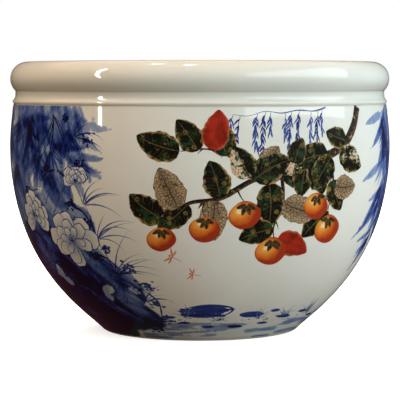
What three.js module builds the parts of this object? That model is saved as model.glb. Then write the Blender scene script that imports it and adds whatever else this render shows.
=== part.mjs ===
// A large porcelain fish bowl (jardiniere), as the pottery makes it: six sections, each turned round
// the vertical axis, stacked and luted together with slip before the whole bowl is glazed and fired.
// Each flat joint carries a vee-shaped key: a groove in the lower section and a tongue on the upper one.
//
// Millimetres, +Z up. The origin is the centre of the foot, on the surface that the bowl stands on.

import * as THREE from "three";

// Body, outside: its widths at the belly and foot, and how the curve leans and pulls at its ends
const bellyRadius = 230;
const shoulderTaper = 4.3;
const footRadius = 117.5;
const bodyHeight = 273.6;
const bellyDrop = 50.1;
const shoulderLeanDegrees = 8;
const shoulderPull = 15;
const bellyPullUp = 15;
const bellyPullDownShare = 0.673;
const footLeanDegrees = 40;
const footPull = 25.5;

// Walls and floor
const wallAtShoulder = 11;
const wallAtFoot = 14;
const floorThickness = 14;
const floorCove = 16;

// Foot ring
const footRingHeight = 8;
const footRingWidth = 20;
const footRingDraft = 1.5;
const footBevel = 1.5;

// Heights of the thrown sections: the dish's upturned edge above the floor, and the lower wall
const dishEdge = 14;
const lowerWallHeight = 106;

// Neck band, with the raised ridge that covers the shoulder joint
const neckBandHeight = 15.8;
const neckStraight = 4.5;
const neckInset = 2.6;
const ridgeStand = 0.7;
const ridgeBead = 2.6;
const ridgeBeadHalfDegrees = 50;
const ridgeLift = 0.6;
const shoulderGroove = 0.8;

// Rolled rim: its round section, how far it hangs over the neck outside and over the wall inside
const rollRadius = 20.5;
const rollOverNeck = 6;
const rollOverWall = 24.1;
const mouthLift = 4.3;
const underRollPull = 9;

// Vee key of a luted joint, with the film of slip round it
const keyWidth = 5;
const keyDepth = 3;
const slipFilm = 0.3;

// Fineness of the model
const sidesRound = 64;
const bisections = 50;

// Radii and heights that follow from the sizes above
const shoulderRadius = bellyRadius - shoulderTaper;
const bellyHeight = bodyHeight - bellyDrop;
const floorTop = footRingHeight + floorThickness;
const dishHeight = floorTop + dishEdge;
const middleHeight = dishHeight + lowerWallHeight;
const neckRadius = shoulderRadius - neckInset;
const neckTop = bodyHeight + neckBandHeight;
const rollCentreRadius = neckRadius + rollOverNeck - rollRadius;
const rollCentreHeight = neckTop + Math.sqrt(rollRadius ** 2 - (neckRadius - rollCentreRadius) ** 2);
const mouthRadius = neckRadius - wallAtShoulder - rollOverWall;
const mouthHeight = rollCentreHeight + mouthLift;

const point = (radius, height) => new THREE.Vector2(radius, height);

// The outside of the body, from the foot up to the shoulder, as two curves that meet at the belly.
function bodyOutside() {
  const footLean = THREE.MathUtils.degToRad(footLeanDegrees);
  const shoulderLean = THREE.MathUtils.degToRad(shoulderLeanDegrees);
  const lower = new THREE.CubicBezierCurve(
    point(footRadius, 0),
    point(footRadius + footPull * Math.sin(footLean), footPull * Math.cos(footLean)),
    point(bellyRadius, bellyHeight * (1 - bellyPullDownShare)),
    point(bellyRadius, bellyHeight),
  );
  const upper = new THREE.CubicBezierCurve(
    point(bellyRadius, bellyHeight),
    point(bellyRadius, bellyHeight + bellyPullUp),
    point(
      shoulderRadius + shoulderPull * Math.sin(shoulderLean),
      bodyHeight - shoulderPull * Math.cos(shoulderLean),
    ),
    point(shoulderRadius, bodyHeight),
  );
  const path = new THREE.CurvePath();
  path.add(lower);
  path.add(upper);
  return path;
}

const outside = bodyOutside();

// The inside follows the outside at the wall's thickness, which grows from the shoulder to the foot.
function insideAt(share) {
  const outer = outside.getPoint(share);
  const along = outside.getTangent(share);
  const wall = THREE.MathUtils.lerp(wallAtFoot, wallAtShoulder, share);
  return point(outer.x - along.y * wall, outer.y + along.x * wall);
}

const outsideAt = (share) => outside.getPoint(share);

// The share of the body's length at which a curve that climbs with it reaches a height.
function shareAtHeight(curveAt, height) {
  let low = 0;
  let high = 1;
  for (let step = 0; step < bisections; step += 1) {
    const middle = (low + high) / 2;
    if (curveAt(middle).y < height) low = middle;
    else high = middle;
  }
  return (low + high) / 2;
}

const radiusAt = (curveAt, height) => curveAt(shareAtHeight(curveAt, height)).x;

// Points along a curve between two heights, both ends included and set exactly on them.
function run(curveAt, fromHeight, toHeight, steps) {
  const from = shareAtHeight(curveAt, fromHeight);
  const to = shareAtHeight(curveAt, toHeight);
  const points = [];
  for (let step = 0; step <= steps; step += 1) {
    points.push(curveAt(THREE.MathUtils.lerp(from, to, step / steps)));
  }
  points[0].y = fromHeight;
  points[steps].y = toHeight;
  return points;
}

// Points of a circular or elliptical arc, from one angle to another, in degrees from the outward radius.
function arc(centre, acrossRadius, upRadius, fromDegrees, toDegrees, steps) {
  const points = [];
  for (let step = 0; step <= steps; step += 1) {
    const angle = THREE.MathUtils.degToRad(THREE.MathUtils.lerp(fromDegrees, toDegrees, step / steps));
    points.push(point(centre.x + acrossRadius * Math.cos(angle), centre.y + upRadius * Math.sin(angle)));
  }
  return points;
}

// A luted joint's flat face: its height and its outer and inner edge.
function jointFace(height, outerRadius, innerRadius) {
  return { height, outerRadius, innerRadius, keyRadius: (outerRadius + innerRadius) / 2 };
}

const footJoint = jointFace(
  footRingHeight,
  radiusAt(outsideAt, footRingHeight),
  footRadius - footRingWidth + footRingDraft,
);
const dishJoint = jointFace(dishHeight, radiusAt(outsideAt, dishHeight), radiusAt(insideAt, dishHeight));
const middleJoint = jointFace(
  middleHeight,
  radiusAt(outsideAt, middleHeight),
  radiusAt(insideAt, middleHeight),
);
const shoulderJoint = jointFace(bodyHeight, shoulderRadius - shoulderGroove, shoulderRadius - wallAtShoulder);
const rimJoint = jointFace(neckTop, neckRadius, neckRadius - wallAtShoulder);

// The key in the top face of a lower section, met from outside inwards.
function groove(joint) {
  return [
    point(joint.keyRadius + keyWidth / 2, joint.height),
    point(joint.keyRadius, joint.height - keyDepth),
    point(joint.keyRadius - keyWidth / 2, joint.height),
  ];
}

// The key on the underside of an upper section, met from inside outwards.
function tongue(joint) {
  return [
    point(joint.keyRadius - keyWidth / 2 + slipFilm, joint.height),
    point(joint.keyRadius, joint.height - keyDepth + slipFilm),
    point(joint.keyRadius + keyWidth / 2 - slipFilm, joint.height),
  ];
}

// Turns a closed outline, given anticlockwise with the axis at its left, into a solid of revolution.
function turned(outline) {
  const profile = [...outline, outline[0].clone()];
  return new THREE.LatheGeometry(profile, sidesRound).rotateX(Math.PI / 2);
}

// The ring that the bowl stands on, left bare of glaze underneath.
function footRing() {
  const steps = 2;
  return turned([
    point(footRadius - footRingWidth, 0),
    point(footRadius - footBevel, 0),
    ...run(outsideAt, footBevel, footRingHeight, steps),
    ...groove(footJoint),
    point(footJoint.innerRadius, footRingHeight),
  ]);
}

// The floor with the first turn of the wall, thrown from one lump. Its outline starts and ends on the axis.
function baseDish() {
  const wallSteps = 3;
  const coveSteps = 4;
  const coveRun = new THREE.QuadraticBezierCurve(
    point(dishJoint.innerRadius, dishHeight),
    point(radiusAt(insideAt, floorTop), floorTop),
    point(radiusAt(insideAt, floorTop) - floorCove, floorTop),
  );
  return turned([
    point(0, footRingHeight),
    ...tongue(footJoint),
    ...run(outsideAt, footRingHeight, dishHeight, wallSteps),
    ...groove(dishJoint),
    ...coveRun.getPoints(coveSteps),
    point(0, floorTop),
  ]);
}

// The lower half of the wall, which swells out from the foot.
function lowerWall() {
  const steps = 8;
  return turned([
    ...tongue(dishJoint),
    ...run(outsideAt, dishHeight, middleHeight, steps),
    ...groove(middleJoint),
    ...run(insideAt, middleHeight, dishHeight, steps),
  ]);
}

// The upper half of the wall, through the belly to the shallow groove under the ridge.
function upperWall() {
  const steps = 8;
  const outer = run(outsideAt, middleHeight, bodyHeight - shoulderGroove, steps);
  const inner = run(insideAt, bodyHeight - wallAtShoulder, middleHeight, steps);
  return turned([
    ...tongue(middleJoint),
    ...outer,
    point(shoulderJoint.outerRadius, bodyHeight),
    ...groove(shoulderJoint),
    point(shoulderJoint.innerRadius, bodyHeight),
    ...inner,
  ]);
}

// The neck: a rounded ridge over the shoulder joint, a cove above it and a short upright band.
function neckBand() {
  const beadSteps = 4;
  const coveSteps = 4;
  const beadCentre = point(shoulderRadius + ridgeStand - ridgeBead, bodyHeight + ridgeLift + ridgeBead);
  const bead = arc(beadCentre, ridgeBead, ridgeBead, -ridgeBeadHalfDegrees, ridgeBeadHalfDegrees, beadSteps);
  const beadTop = bead[beadSteps];
  const cove = new THREE.QuadraticBezierCurve(
    beadTop,
    point(neckRadius, beadTop.y + ridgeBead),
    point(neckRadius, neckTop - neckStraight),
  );
  return turned([
    ...tongue(shoulderJoint),
    point(shoulderJoint.outerRadius, bodyHeight),
    ...bead,
    ...cove.getPoints(coveSteps).slice(1),
    point(neckRadius, neckTop),
    ...groove(rimJoint),
    point(rimJoint.innerRadius, neckTop),
    point(shoulderJoint.innerRadius, bodyHeight),
  ]);
}

// The rolled rim: a thick round bead that hangs a little over the neck outside and the wall inside.
function rolledRim() {
  const outerSteps = 10;
  const innerSteps = 5;
  const underSteps = 5;
  const centre = point(rollCentreRadius, rollCentreHeight);
  const creaseDegrees = THREE.MathUtils.radToDeg(Math.acos((neckRadius - rollCentreRadius) / rollRadius));
  const outerRound = arc(centre, rollRadius, rollRadius, -creaseDegrees, 90, outerSteps);
  outerRound[0].set(neckRadius, neckTop);
  const innerRound = arc(
    point(rollCentreRadius, mouthHeight),
    rollCentreRadius - mouthRadius,
    rollRadius - mouthLift,
    90,
    180,
    innerSteps,
  );
  const under = new THREE.CubicBezierCurve(
    point(mouthRadius, mouthHeight),
    point(mouthRadius, mouthHeight - underRollPull),
    point(rimJoint.innerRadius, neckTop + underRollPull),
    point(rimJoint.innerRadius, neckTop),
  );
  return turned([
    ...tongue(rimJoint),
    ...outerRound,
    ...innerRound.slice(1),
    ...under.getPoints(underSteps).slice(1),
  ]);
}

// Glazed porcelain, bluish white and glossy, and the bare fired clay of the foot.
const glaze = { color: 0xd3d9d2, roughness: 0.12, metalness: 0 };
const bareClay = { color: 0xd8cdb8, roughness: 0.75, metalness: 0 };

function section(name, geometry, look) {
  const mesh = new THREE.Mesh(geometry, new THREE.MeshStandardMaterial(look));
  mesh.name = name;
  return mesh;
}

const fishBowl = new THREE.Group();
fishBowl.add(section("foot_ring", footRing(), bareClay));
fishBowl.add(section("base_dish", baseDish(), glaze));
fishBowl.add(section("lower_wall", lowerWall(), glaze));
fishBowl.add(section("upper_wall", upperWall(), glaze));
fishBowl.add(section("neck_band", neckBand(), glaze));
fishBowl.add(section("rolled_rim", rolledRim(), glaze));

export default fishBowl;
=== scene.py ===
"""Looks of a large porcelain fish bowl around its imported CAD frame.

The six thrown sections are turned again, finer than the CAD solids, and get a clear glaze. A painting in
underglaze cobalt and overglaze enamels goes round the outside: soft washes are fields stored on the turned
meshes, and each brush mark is a thin closed film of pigment that follows the wall. Places in the scene are in
metres, in the frame of the CAD model: +Z up, the painted front towards -Y. The motifs are laid out in
millimetres on the wall.
"""

import enum
import logging
import math
from collections.abc import Callable, Sequence
from dataclasses import dataclass, field

import bpy
import mathutils
import numpy as np
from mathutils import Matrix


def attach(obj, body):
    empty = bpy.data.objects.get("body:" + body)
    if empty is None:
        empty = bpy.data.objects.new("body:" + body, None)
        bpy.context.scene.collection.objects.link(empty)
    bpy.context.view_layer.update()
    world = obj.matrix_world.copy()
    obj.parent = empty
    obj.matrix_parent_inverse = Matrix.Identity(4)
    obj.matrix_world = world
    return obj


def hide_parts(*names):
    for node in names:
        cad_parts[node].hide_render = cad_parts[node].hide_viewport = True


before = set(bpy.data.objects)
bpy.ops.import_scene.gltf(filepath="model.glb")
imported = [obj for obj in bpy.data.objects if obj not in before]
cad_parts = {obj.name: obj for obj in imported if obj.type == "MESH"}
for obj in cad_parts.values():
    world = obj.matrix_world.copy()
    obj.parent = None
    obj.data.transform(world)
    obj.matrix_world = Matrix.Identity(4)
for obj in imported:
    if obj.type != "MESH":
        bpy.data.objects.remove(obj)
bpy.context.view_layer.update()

log = logging.getLogger("fish_bowl")

MM = 0.001
SIDES = 512
RING_STEP = 2.2 * MM
BODY = "root"

Point = tuple[float, float]
Place = tuple[float, float, float]
Colour = tuple[float, float, float]
Array = np.ndarray
Stops = Sequence[tuple[float, Colour]]
Wash = Callable[[Array, Array], Array]

WHITE: Colour = (1.0, 1.0, 1.0)


def operation(name: str, swapped: bool = False) -> Callable[["Wire", "Feed"], "Wire"]:
    """Makes the method of Wire that adds the node of one operation.

    Args:
        name: The node's operation, such as "ADD".
        swapped: Whether the other value is the left operand.

    Returns:
        The method.
    """
    def method(wire: "Wire", other: "Feed") -> "Wire":
        """Adds the node, for vectors where either side is one.

        Args:
            wire: The wire.
            other: The other value.

        Returns:
            The node's output.
        """
        sides = (other, wire) if swapped else (wire, other)
        wide = any(isinstance(s, tuple) or (isinstance(s, Wire) and s.socket.type != "VALUE") for s in sides)
        if wide:
            sides = [(s, s, s) if isinstance(s, (int, float)) else s for s in sides]
        kind = "ShaderNodeVectorMath" if wide else "ShaderNodeMath"
        return wire.desk.node(kind, {"operation": name}, dict(enumerate(sides)))

    return method


class Wire:
    """A shader socket that Python's operators work on."""

    def __init__(self, desk: "NodeDesk", socket: bpy.types.NodeSocket) -> None:
        """Keeps the socket and the desk that adds nodes behind it."""
        self.desk, self.socket = desk, socket

    __add__ = __radd__ = operation("ADD")
    __mul__ = __rmul__ = operation("MULTIPLY")
    __sub__, __rsub__ = operation("SUBTRACT"), operation("SUBTRACT", swapped=True)
    __truediv__ = operation("DIVIDE")
    __pow__, __rpow__ = operation("POWER"), operation("POWER", swapped=True)
    __mod__ = operation("FLOORED_MODULO")
    most = operation("MAXIMUM")

    def __abs__(self) -> "Wire":
        """The value without its sign."""
        return self.desk.node("ShaderNodeMath", {"operation": "ABSOLUTE"}, {0: self})

    def clamped(self) -> "Wire":
        """The value held between 0 and 1."""
        return self.desk.node("ShaderNodeClamp", {}, {0: self})

    def ramp(self, low: float, high: float) -> "Wire":
        """A smooth step from 0 where the value is low to 1 where it is high, which may be the lesser one."""
        settings = {"interpolation_type": "SMOOTHSTEP", "clamp": True}
        return self.desk.node("ShaderNodeMapRange", settings, {0: self, 1: low, 2: high})

    def towards(self, other: "Feed", share: "Feed") -> "Wire":
        """This colour mixed with another, by the other one's share from 0 to 1."""
        settings = {"data_type": "RGBA", "clamp_factor": True}
        return self.desk.node("ShaderNodeMix", settings, {0: share, 6: self, 7: other}, 2)


Feed = Wire | float | int | tuple


class NodeDesk:
    """Adds nodes to one material or world."""

    def __init__(self, tree: bpy.types.NodeTree) -> None:
        """Clears the tree and keeps it."""
        tree.nodes.clear()
        self.tree = tree

    def node(self, kind: str, settings: dict, sockets: dict, output: int | str = 0) -> Wire | None:
        """Adds one node.

        Args:
            kind: The node's Blender type.
            settings: Its properties, set first; "stops" holds a ramp's places and colours.
            sockets: Wires or values by socket name or number.
            output: The output to return.

        Returns:
            That output, as a wire, or None where the node has none.
        """
        made = self.tree.nodes.new(kind)
        for name, value in settings.items():
            if name == "stops":
                self._set_stops(made.color_ramp, value)
            else:
                setattr(made, name, value)
        for key, value in sockets.items():
            socket = made.inputs[key]
            if isinstance(value, Wire):
                self.tree.links.new(value.socket, socket)
            elif isinstance(value, tuple) and socket.type == "RGBA":
                socket.default_value = (*value, 1.0)
            else:
                socket.default_value = value
        return Wire(self, made.outputs[output]) if len(made.outputs) else None

    @staticmethod
    def _set_stops(ramp: bpy.types.ColorRamp, stops: Stops) -> None:
        """Gives a colour ramp its stops.

        Args:
            ramp: The ramp.
            stops: Its places from 0 to 1, with their colours.
        """
        while len(ramp.elements) < len(stops):
            ramp.elements.new(1.0)
        for element, (place, colour) in zip(ramp.elements, stops):
            element.position, element.color = place, (*colour, 1.0)

    def attribute(self, name: str) -> Wire:
        """A value stored on the mesh, or 0 where the mesh has none of that name."""
        return self.node("ShaderNodeAttribute", {"attribute_name": name}, {}, "Fac")

    def place(self) -> Wire:
        """The point on the object, in metres."""
        return self.node("ShaderNodeTexCoord", {}, {}, "Object")

    def noise(self, size: float, detail: float = 2.0, stretch: Place = (1.0, 1.0, 1.0),
              shift: Feed = (0.0, 0.0, 0.0)) -> Wire:
        """Smooth noise about 0.5, with swells of a size in metres, finer along X, Y and Z by the stretch."""
        vector = self.place() * tuple(s / size for s in stretch) + shift
        return self.node("ShaderNodeTexNoise", {}, {"Vector": vector, "Scale": 1.0, "Detail": detail}, "Fac")

    def spots(self, size: float, output: str = "Distance", shift: Feed = (0.0, 0.0, 0.0)) -> Wire:
        """Cells a size in metres apart: the "Distance" to a cell's middle, or its random "Color"."""
        vector = self.place() / size + shift
        return self.node("ShaderNodeTexVoronoi", {}, {"Vector": vector, "Scale": 1.0}, output)

    def colours(self, share: Wire, stops: Stops) -> Wire:
        """A colour ramp read at a value."""
        return self.node("ShaderNodeValToRGB", {"stops": stops}, {0: share})


def new_material(name: str, surface: Callable[[NodeDesk], Wire]) -> bpy.types.Material:
    """Makes a material.

    Args:
        name: Its name.
        surface: Adds its nodes and gives its shader.

    Returns:
        The material.
    """
    made = bpy.data.materials.new(name)
    made.use_nodes = True
    desk = NodeDesk(made.node_tree)
    desk.node("ShaderNodeOutputMaterial", {}, {"Surface": surface(desk)})
    return made


def dimmed(colour: Colour, share: float) -> Colour:
    """The colour at a share of its brightness."""
    return tuple(share * c for c in colour)


@dataclass(frozen=True)
class Glaze:
    """Clear bluish glaze over white porcelain, with cobalt painted under it.

    The meshes that wear it may store "wash" and "ink", the density of cobalt in soft washes and in brush
    marks, "pool", above 0 where glaze pools in a hollow and where shade is painted on the
    roll's underside and in the creases, below 0 where glaze runs thin and where light is painted on the
    ridge's crest and the roll's top, and "bare", where the clay stays unglazed.
    """

    white: Colour = (0.66, 0.70, 0.655)
    # Next, the colour of glaze that pools, which also paints shade under the roll and in the creases, and of
    # glaze that runs thin, which also paints warm light on the ridge's crest and the roll's top.
    pooled_and_shaded: Colour = (0.40, 0.45, 0.415)
    thin: Colour = (0.72, 0.70, 0.63)
    roughness: float = 0.025
    swell: float = 95 * MM
    swell_height: float = 0.45 * MM
    ring: float = 7 * MM
    ring_height: float = 0.014 * MM
    peel: float = 3.2 * MM
    peel_height: float = 0.0045 * MM
    cobalt: Colour = (0.014, 0.0365, 0.255)
    darkest: Colour = (0.0045, 0.0028, 0.013)
    bristle: Place = (2.4 * MM, 2.4 * MM, 34 * MM)
    bristle_lean: float = math.radians(-26)
    bristle_turn: float = math.radians(-50)
    speck: Colour = (0.20, 0.15, 0.10)
    clay: Colour = (0.66, 0.56, 0.42)
    toasted: Colour = (0.42, 0.20, 0.07)

    def ground(self, desk: NodeDesk) -> Wire:
        """Colours the glazed porcelain before any cobalt: darker where glaze pools and where shade is
        painted, lighter and warmer where it runs thin and where light is painted.

        Args:
            desk: The material's desk.

        Returns:
            The colour.
        """
        drift = desk.noise(60 * MM, 3.0)
        white = desk.colours(drift, [(0.3, dimmed(self.white, 0.965)), (0.7, self.white)])
        # Darker where glaze pools and where shade is painted under the roll and in the creases; lighter and
        # warmer where glaze runs thin and where light is painted on the ridge and the roll's top.
        pooled_and_shaded = white.towards(self.pooled_and_shaded, desk.attribute("pool").clamped() * 0.8)
        thin = pooled_and_shaded.towards(self.thin, (desk.attribute("pool") * -1.0).clamped() * 0.6)
        return thin.towards(self.speck, desk.spots(23 * MM).ramp(0.017, 0.008) * 0.7)

    def paint(self, desk: NodeDesk, ground: Wire) -> Wire:
        """Lays cobalt over the ground.

        Args:
            desk: The material's desk.
            ground: The colour to paint on.

        Returns:
            The painted colour.
        """
        cloud = desk.noise(24 * MM, 5.0)
        streak = desk.noise(5.5 * MM, 4.0, (1.0, 1.0, 0.75))
        grain = desk.noise(1.3 * MM, 2.0)
        wash = desk.attribute("wash")
        border = wash.ramp(0.0, 0.10) * wash.ramp(0.42, 0.16)
        tide = (wash * (0.55 + cloud * 0.9) + (streak - 0.5) * 0.22 * border).clamped()
        film = (tide * tide.ramp(0.02, 0.10) * 1.35 + tide.ramp(0.04, 0.10) * tide.ramp(0.20, 0.10) * 0.10
                + tide.ramp(0.50, 0.95) * 0.50)
        ink = desk.attribute("ink")
        mark = ink * (0.72 + streak * 0.34 + grain * 0.26)
        density = film * (0.38 + grain * 0.20 + streak * 0.15 + self.brushed(desk) * 0.90) + mark
        channels = {i: c ** density for i, c in enumerate(self.cobalt)}
        through = desk.node("ShaderNodeCombineColor", {}, channels)
        painted = desk.node("ShaderNodeMix", {"data_type": "RGBA", "blend_type": "MULTIPLY"},
                            {0: 1.0, 6: ground, 7: through}, 2)
        return painted.towards(self.darkest, density.ramp(0.85, 1.75) * 0.88)

    def brushed(self, desk: NodeDesk) -> Wire:
        """Long streaks, as a worn brush leaves them in a wash: values that wander about 0.5.

        Args:
            desk: The material's desk.

        Returns:
            The streaks.
        """
        run = desk.node("ShaderNodeMapping", {"vector_type": "TEXTURE"}, {
            "Vector": desk.place(), "Rotation": (0.0, self.bristle_lean, self.bristle_turn),
            "Scale": self.bristle})
        return desk.node("ShaderNodeTexNoise", {}, {"Vector": run, "Scale": 1.0, "Detail": 3.0}, "Fac")

    def relief(self, desk: NodeDesk) -> Wire:
        """The glaze's own unevenness: slow swells, throwing rings and a fine peel.

        Args:
            desk: The material's desk.

        Returns:
            The normal.
        """
        ring = desk.noise(self.ring, 2.0, (0.04, 0.04, 1.0))
        fine = desk.noise(self.peel, 1.0)
        height = (desk.noise(self.swell, 1.0) * self.swell_height
                  + ring * self.ring_height + fine * self.peel_height)
        return desk.node("ShaderNodeBump", {}, {"Strength": 1.0, "Distance": 1.0, "Height": height})

    def surface(self, desk: NodeDesk) -> Wire:
        """The glazed surface, with bare clay where the mesh says so.

        Args:
            desk: The material's desk.

        Returns:
            The shader.
        """
        bare = (desk.attribute("bare") + (desk.noise(5 * MM, 2.0) - 0.5) * 0.5).ramp(0.4, 0.6)
        speck = desk.noise(0.7 * MM, 2.0).ramp(0.35, 0.7)
        clay = desk.colours(speck, [(0.0, dimmed(self.clay, 0.88)), (1.0, self.clay)])
        colour = self.paint(desk, self.ground(desk)).towards(clay, bare)
        return desk.node("ShaderNodeBsdfPrincipled", {}, {
            "Base Color": colour.towards(self.toasted, bare * (1.0 - bare) * 3.0),
            "Roughness": self.roughness + desk.noise(30 * MM, 3.0) * 0.03 + bare * 0.62,
            "Normal": self.relief(desk),
            "IOR": 1.5,
        })

    def material(self, name: str) -> bpy.types.Material:
        """Makes the material under a name."""
        return new_material(name, self.surface)


def bezier(points: Sequence[Point], count: int) -> Array:
    """Points of a Bezier curve.

    Args:
        points: Its four control points, or three for a quadratic one.
        count: How many points to return.

    Returns:
        The points, both ends included.
    """
    knots = [np.array(p, float) for p in points]
    if len(knots) == 3:
        start, pull, end = knots
        knots = [start, start + (pull - start) * 2 / 3, end + (pull - end) * 2 / 3, end]
    start, pull, catch, end = knots
    t = np.linspace(0.0, 1.0, count)[:, None]
    return (1 - t) ** 3 * start + 3 * (1 - t) ** 2 * t * pull + 3 * (1 - t) * t**2 * catch + t**3 * end


def travelled(points: Array) -> Array:
    """The distance along a line of points, from its first point to each."""
    return np.concatenate([[0.0], np.cumsum(np.linalg.norm(np.diff(points, axis=0), axis=1))])


def read_at(at: Array, along: Array, rows: Array) -> Array:
    """The rows of a table, which belong to the values along it, read between them."""
    return np.stack([np.interp(at, along, column) for column in rows.T], axis=1)


def evenly(start: float, end: float, step: float) -> Array:
    """Even values from a start to an end, both included, no more than a step apart."""
    return np.linspace(start, end, max(2, math.ceil((end - start) / step) + 1))


def resampled(points: Array, step: float) -> Array:
    """Points at even distances along a line, no more than a step apart, both ends included."""
    along = travelled(points)
    return read_at(evenly(0.0, along[-1], step), along, points)


def facing_right(points: Array) -> Array:
    """The unit normals at a line's right."""
    normals = np.gradient(points, axis=0)[:, ::-1] * (1, -1)
    return normals / np.linalg.norm(normals, axis=1, keepdims=True)


def smooth_line(points: Sequence[Point], step: float = 2.0) -> Array:
    """A smooth line through given points.

    Args:
        points: The points, in millimetres.
        step: The longest distance between points of the line, in millimetres.

    Returns:
        The line's points, in metres.
    """
    knots = np.array(points, float) * MM
    padded = np.vstack([2 * knots[0] - knots[1], knots, 2 * knots[-1] - knots[-2]])
    parts = [bezier([start, start + (end - before) / 6, end - (after - start) / 6, end], 12)[:-1]
             for before, start, end, after in zip(padded, padded[1:], padded[2:], padded[3:])]
    return resampled(np.vstack([*parts, knots[-1:]]), step * MM)


@dataclass
class Run:
    """A stretch of a turned outline that is smooth from end to end.

    Attributes:
        points: Radius and height of each ring.
        normals: The surface's outward normal there.
        bare: 1 where the clay has no glaze.
        painted: Whether the painter reaches it.
    """

    points: Array
    normals: Array
    bare: float = 0.0
    painted: bool = False

    @classmethod
    def along(cls, points: Sequence[Point], step: float | None = None, **marks: float) -> "Run":
        """A smooth stretch through points, with the clay at their left, set anew where a step is given."""
        points = np.array(points, float) if step is None else resampled(np.array(points, float), step)
        return cls(points, facing_right(points), **marks)

    @classmethod
    def flats(cls, points: Sequence[Point]) -> list["Run"]:
        """Straight stretches of bare clay from point to point, with sharp edges between them."""
        return [cls.along([a, b], bare=1.0) for a, b in zip(points, points[1:])]


@dataclass(frozen=True)
class Joint:
    """A flat luted joint with its vee key: a groove below and a tongue above."""

    height: float
    outer: float
    inner: float
    key_width: float = 5 * MM
    key_depth: float = 3 * MM
    slip: float = 0.3 * MM

    def face(self, upper: bool = False) -> list[Run]:
        """The lower section's face from outside inwards, or the upper one's from inside outwards.

        Args:
            upper: Whether it is the upper section's.

        Returns:
            The face's stretches.
        """
        slip = self.slip if upper else 0.0
        middle, half = (self.outer + self.inner) / 2, self.key_width / 2 - slip
        radii = (self.outer, middle + half, middle, middle - half, self.inner)
        corners = [(radius, self.height) for radius in radii]
        corners[2] = (middle, self.height - self.key_depth + slip)
        return Run.flats(corners[::-1] if upper else corners)


@dataclass
class BodyCurve:
    """The bowl's wall between foot and shoulder, with the sizes of the CAD part."""

    belly_radius: float = 230 * MM
    shoulder_taper: float = 4.3 * MM
    foot_radius: float = 117.5 * MM
    body_height: float = 273.6 * MM
    belly_drop: float = 50.1 * MM
    shoulder_lean: float = math.radians(8)
    shoulder_pull: float = 15 * MM
    belly_pull_up: float = 15 * MM
    belly_pull_down_share: float = 0.673
    foot_lean: float = math.radians(40)
    foot_pull: float = 25.5 * MM
    wall_at_shoulder: float = 11 * MM
    wall_at_foot: float = 14 * MM
    fineness: int = 2000
    outside: Array = field(init=False)
    normals: Array = field(init=False)
    inside: Array = field(init=False)

    def __post_init__(self) -> None:
        """Works the curves out as fine lines of points."""
        belly, belly_height = self.belly_radius, self.body_height - self.belly_drop
        lower = bezier([
            (self.foot_radius, 0.0),
            (self.foot_radius + self.foot_pull * math.sin(self.foot_lean),
             self.foot_pull * math.cos(self.foot_lean)),
            (belly, belly_height * (1 - self.belly_pull_down_share)),
            (belly, belly_height),
        ], self.fineness)
        upper = bezier([
            (belly, belly_height),
            (belly, belly_height + self.belly_pull_up),
            (self.shoulder_radius + self.shoulder_pull * math.sin(self.shoulder_lean),
             self.body_height - self.shoulder_pull * math.cos(self.shoulder_lean)),
            (self.shoulder_radius, self.body_height),
        ], self.fineness)
        self.outside = resampled(np.vstack([lower, upper[1:]]), self.body_height / self.fineness)
        self.normals = facing_right(self.outside)
        wall = np.linspace(self.wall_at_foot, self.wall_at_shoulder, len(self.outside))[:, None]
        self.inside = self.outside - self.normals * wall

    @property
    def shoulder_radius(self) -> float:
        """The body's radius at its top edge."""
        return self.belly_radius - self.shoulder_taper

    def radius_at(self, height: float, inner: bool = False) -> float:
        """The wall's radius at a height, outside or inside."""
        side = self.inside if inner else self.outside
        return float(np.interp(height, side[:, 1], side[:, 0]))

    def joint_at(self, height: float) -> Joint:
        """The level joint through the wall at a height."""
        return Joint(height, self.radius_at(height), self.radius_at(height, inner=True))

    def wall(self, low: float, high: float, step: float, inner: bool = False, **marks: float) -> Run:
        """The wall between two heights: the outside from the foot up, or the inside downwards.

        Args:
            low: The lower height.
            high: The upper height.
            step: The longest distance between rings.
            inner: Whether it is the inside.
            **marks: The stretch's bare and painted.

        Returns:
            The stretch.
        """
        side, facing, turn = (self.inside, -self.normals, -1) if inner else (self.outside, self.normals, 1)
        along = travelled(side)
        at = evenly(*np.interp([low, high], side[:, 1], along), step)
        normals = read_at(at, along, facing)
        normals /= np.linalg.norm(normals, axis=1, keepdims=True)
        return Run(read_at(at, along, side)[::turn], normals[::turn], **marks)


@dataclass(frozen=True)
class PoolAndShadingBand:
    """A line round the bowl that darkens the glaze near it, or lightens and warms it where the amount is
    below 0: at some lines glaze that pools and runs thin, at others painted shade and painted light.
    """

    radius: float
    height: float
    reach: float
    amount: float

    def at(self, point: Point) -> float:
        """How much it darkens the glaze at a point of the outline, lightening it where below 0."""
        away = math.hypot(point[0] - self.radius, point[1] - self.height) / self.reach
        return self.amount * math.exp(-away * away)


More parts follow.
